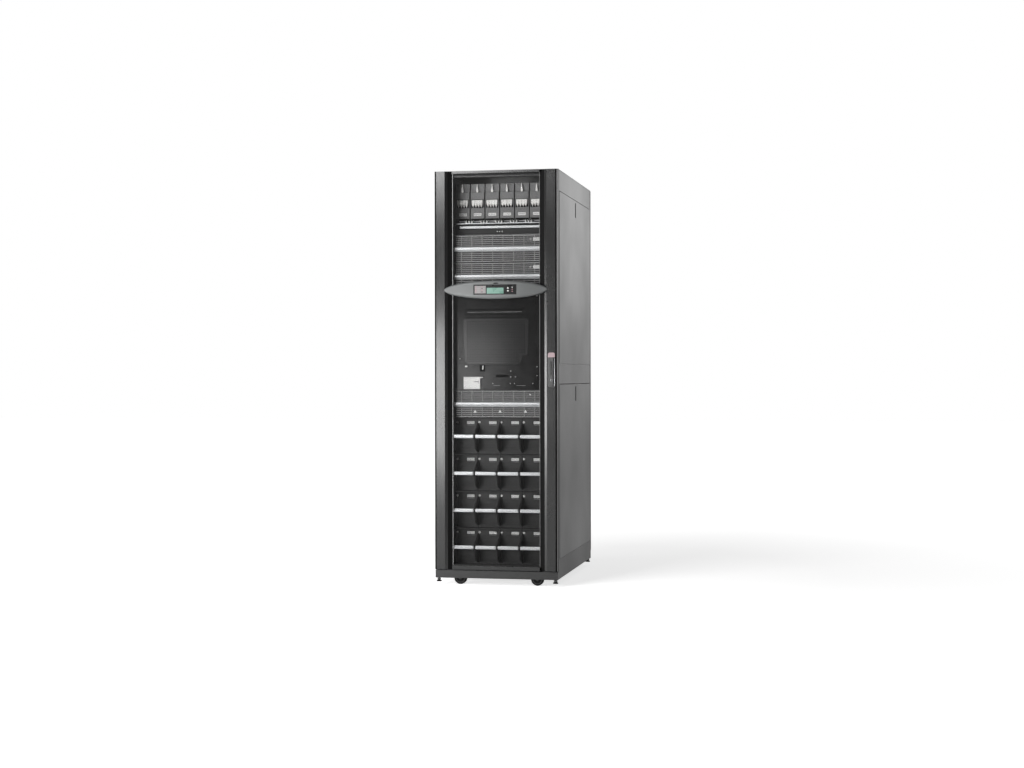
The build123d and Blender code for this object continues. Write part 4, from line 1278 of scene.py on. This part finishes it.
def rear_door_pair():
    """Two hinged leaves of perforated sheet with folded borders."""
    low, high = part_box("rear_doors")
    frames, sheets = Build(), Build()
    border, fold, parting, edge = 0.024, 0.0015, 0.0015, 0.0004
    tuck_x, tuck_z, sheet_inset = 0.008, 0.004, 0.0017
    pitch, web = 0.0092, 0.0016
    z0, z1, face = low.z, high.z, high.y
    rim = (low.y, face - 0.0004)
    for side in (-1, 1):
        x0, x1 = sorted((side * parting, side * high.x))
        sides = (z0 + border, z1 - border)
        for xs, zs in (((x0, x1), (z0, z0 + border)), ((x0, x1), (z1 - border, z1)),
                       ((x0, x0 + border), sides), ((x1 - border, x1), sides)):
            frames.block(xs, (face - fold, face), zs, edge)
        for x in (x0, x1 - fold):
            frames.block((x, x + fold), rim, (z0, z1), edge)
        for z in (z0, z1 - fold):
            frames.block((x0, x1), rim, (z, z + fold), edge)
        honeycomb(sheets, (x0 + border - tuck_x, x1 - border + tuck_x),
                  (z0 + border - tuck_z, z1 - border + tuck_z), face - sheet_inset, pitch, web)
    frames.piece("rear_door_frames", "door_paint", [panel_coat], ["rear_doors"])
    sheets.piece("rear_door_perforated_sheets", "mesh_paint", [mesh_coat], ["rear_doors"])


rear_door_pair()


# Camera at the photograph's place

camera_place = (1.69127, -8.53866, 1.00345)
camera_turns = ((11.358, "Z"), (90 - 0.25, "X"), (-0.083, "Z"))
lens_length, film_width, far_limit = 60.37, 36.0, 200.0
camera_data = bpy.data.cameras.new("camera")
camera_data.lens, camera_data.sensor_width = lens_length, film_width
camera_data.clip_end = far_limit
camera = bpy.data.objects.new("camera", camera_data)
scene.collection.objects.link(camera)
stance = Matrix.Translation(camera_place)
for angle, axis in camera_turns:
    stance = stance @ Matrix.Rotation(math.radians(angle), 4, axis)
camera.matrix_world = stance
scene.camera = camera


# Studio: floor, surroundings and soft lamps


def seen_directly(tree, rays):
    """One for what the camera sees, also through glass."""
    return maths(tree, "MAXIMUM", rays["Is Camera Ray"], rays["Is Transmission Ray"])


def studio_floor():
    """A wide pale floor that keeps the cabinet's shadow and melts into white."""
    floor_reach, shadow_radius, white_radius = 30.0, 1.6, 4.5
    near_glow, far_glow, gloss_glow = 0.72, 1.0, 0.45
    bm = bmesh.new()
    bmesh.ops.create_grid(bm, x_segments=4, y_segments=4, size=floor_reach)
    mesh = bpy.data.meshes.new("studio_floor")
    bm.to_mesh(mesh)
    bm.free()
    floor = bpy.data.objects.new("studio_floor", mesh)
    scene.collection.objects.link(floor)
    material = bpy.data.materials.new("studio_floor_paint")
    material.use_nodes = True
    tree = material.node_tree
    rays = tree.nodes.new("ShaderNodeLightPath").outputs
    distance = tree.nodes.new("ShaderNodeVectorMath")
    distance.operation = "LENGTH"
    tree.links.new(object_place(tree), distance.inputs[0])
    white = ramp(tree, distance.outputs["Value"], shadow_radius, white_radius,
                 near_glow, far_glow)
    shown = maths(tree, "MULTIPLY", seen_directly(tree, rays), white)
    mirrored_glow = maths(tree, "MULTIPLY", rays["Is Glossy Ray"], gloss_glow)
    for label, value in (("Base Color", grey(0.82)), ("Roughness", 0.9),
                         ("Specular IOR Level", 0.0), ("Emission Color", grey(1.0)),
                         ("Emission Strength", maths(tree, "MAXIMUM", shown, mirrored_glow))):
        feed(tree, tree.nodes["Principled BSDF"].inputs[label], value)
    mesh.materials.append(material)


def surroundings():
    """White to the camera and in gloss, and a soft even fill for the object."""
    fill_strength, white_strength = 0.09, 1.0
    world = bpy.data.worlds.new("surroundings")
    world.use_nodes = True
    tree = world.node_tree
    tree.nodes.clear()
    rays = tree.nodes.new("ShaderNodeLightPath").outputs
    mix = tree.nodes.new("ShaderNodeMixShader")
    for place, strength in ((1, fill_strength), (2, white_strength)):
        light = tree.nodes.new("ShaderNodeBackground")
        light.inputs["Color"].default_value = grey(1.0)
        light.inputs["Strength"].default_value = strength
        tree.links.new(light.outputs[0], mix.inputs[place])
    direction = tree.nodes.new("ShaderNodeTexCoord").outputs["Generated"]
    split = tree.nodes.new("ShaderNodeSeparateXYZ")
    tree.links.new(direction, split.inputs["Vector"])
    behind = ramp(tree, split.outputs["Y"], 0.1, 0.6, 0.0, 1.0)
    gloss = maths(tree, "MULTIPLY", rays["Is Glossy Ray"], behind)
    share = maths(tree, "MAXIMUM", seen_directly(tree, rays), gloss)
    out = tree.nodes.new("ShaderNodeOutputWorld")
    tree.links.new(share, mix.inputs[0])
    tree.links.new(mix.outputs[0], out.inputs["Surface"])
    scene.world = world


def soft_lamp(name, place, target, width, height, power):
    """An area lamp at a place, turned to a target and unseen by the camera."""
    lamp = bpy.data.lights.new(name, "AREA")
    lamp.shape = "RECTANGLE"
    lamp.size, lamp.size_y = width, height
    lamp.energy = power
    holder = bpy.data.objects.new(name, lamp)
    scene.collection.objects.link(holder)
    holder.location = place
    aim = Vector(target) - Vector(place)
    holder.rotation_euler = aim.to_track_quat("-Z", "Y").to_euler()
    holder.visible_camera = False


studio_floor()
surroundings()
soft_lamp("left_front_wall", (-1.85, -3.3, 0.88), (-1.85, 0.0, 0.88), 2.5, 0.9, 98.0)
soft_lamp("left_side_wall", (-3.3, -2.0, 0.88), (0.0, -2.0, 0.88), 2.6, 0.9, 90.0)
soft_lamp("high_front_lamp", (-1.7, -3.3, 2.64), (-1.7, -0.5, 1.9), 2.4, 0.9, 88.0)
soft_lamp("right_rear_lamp", (1.6, 4.4, 2.9), (0.2, 0.4, 1.2), 3.0, 3.0, 16.0)

scene.view_settings.view_transform = "Standard"
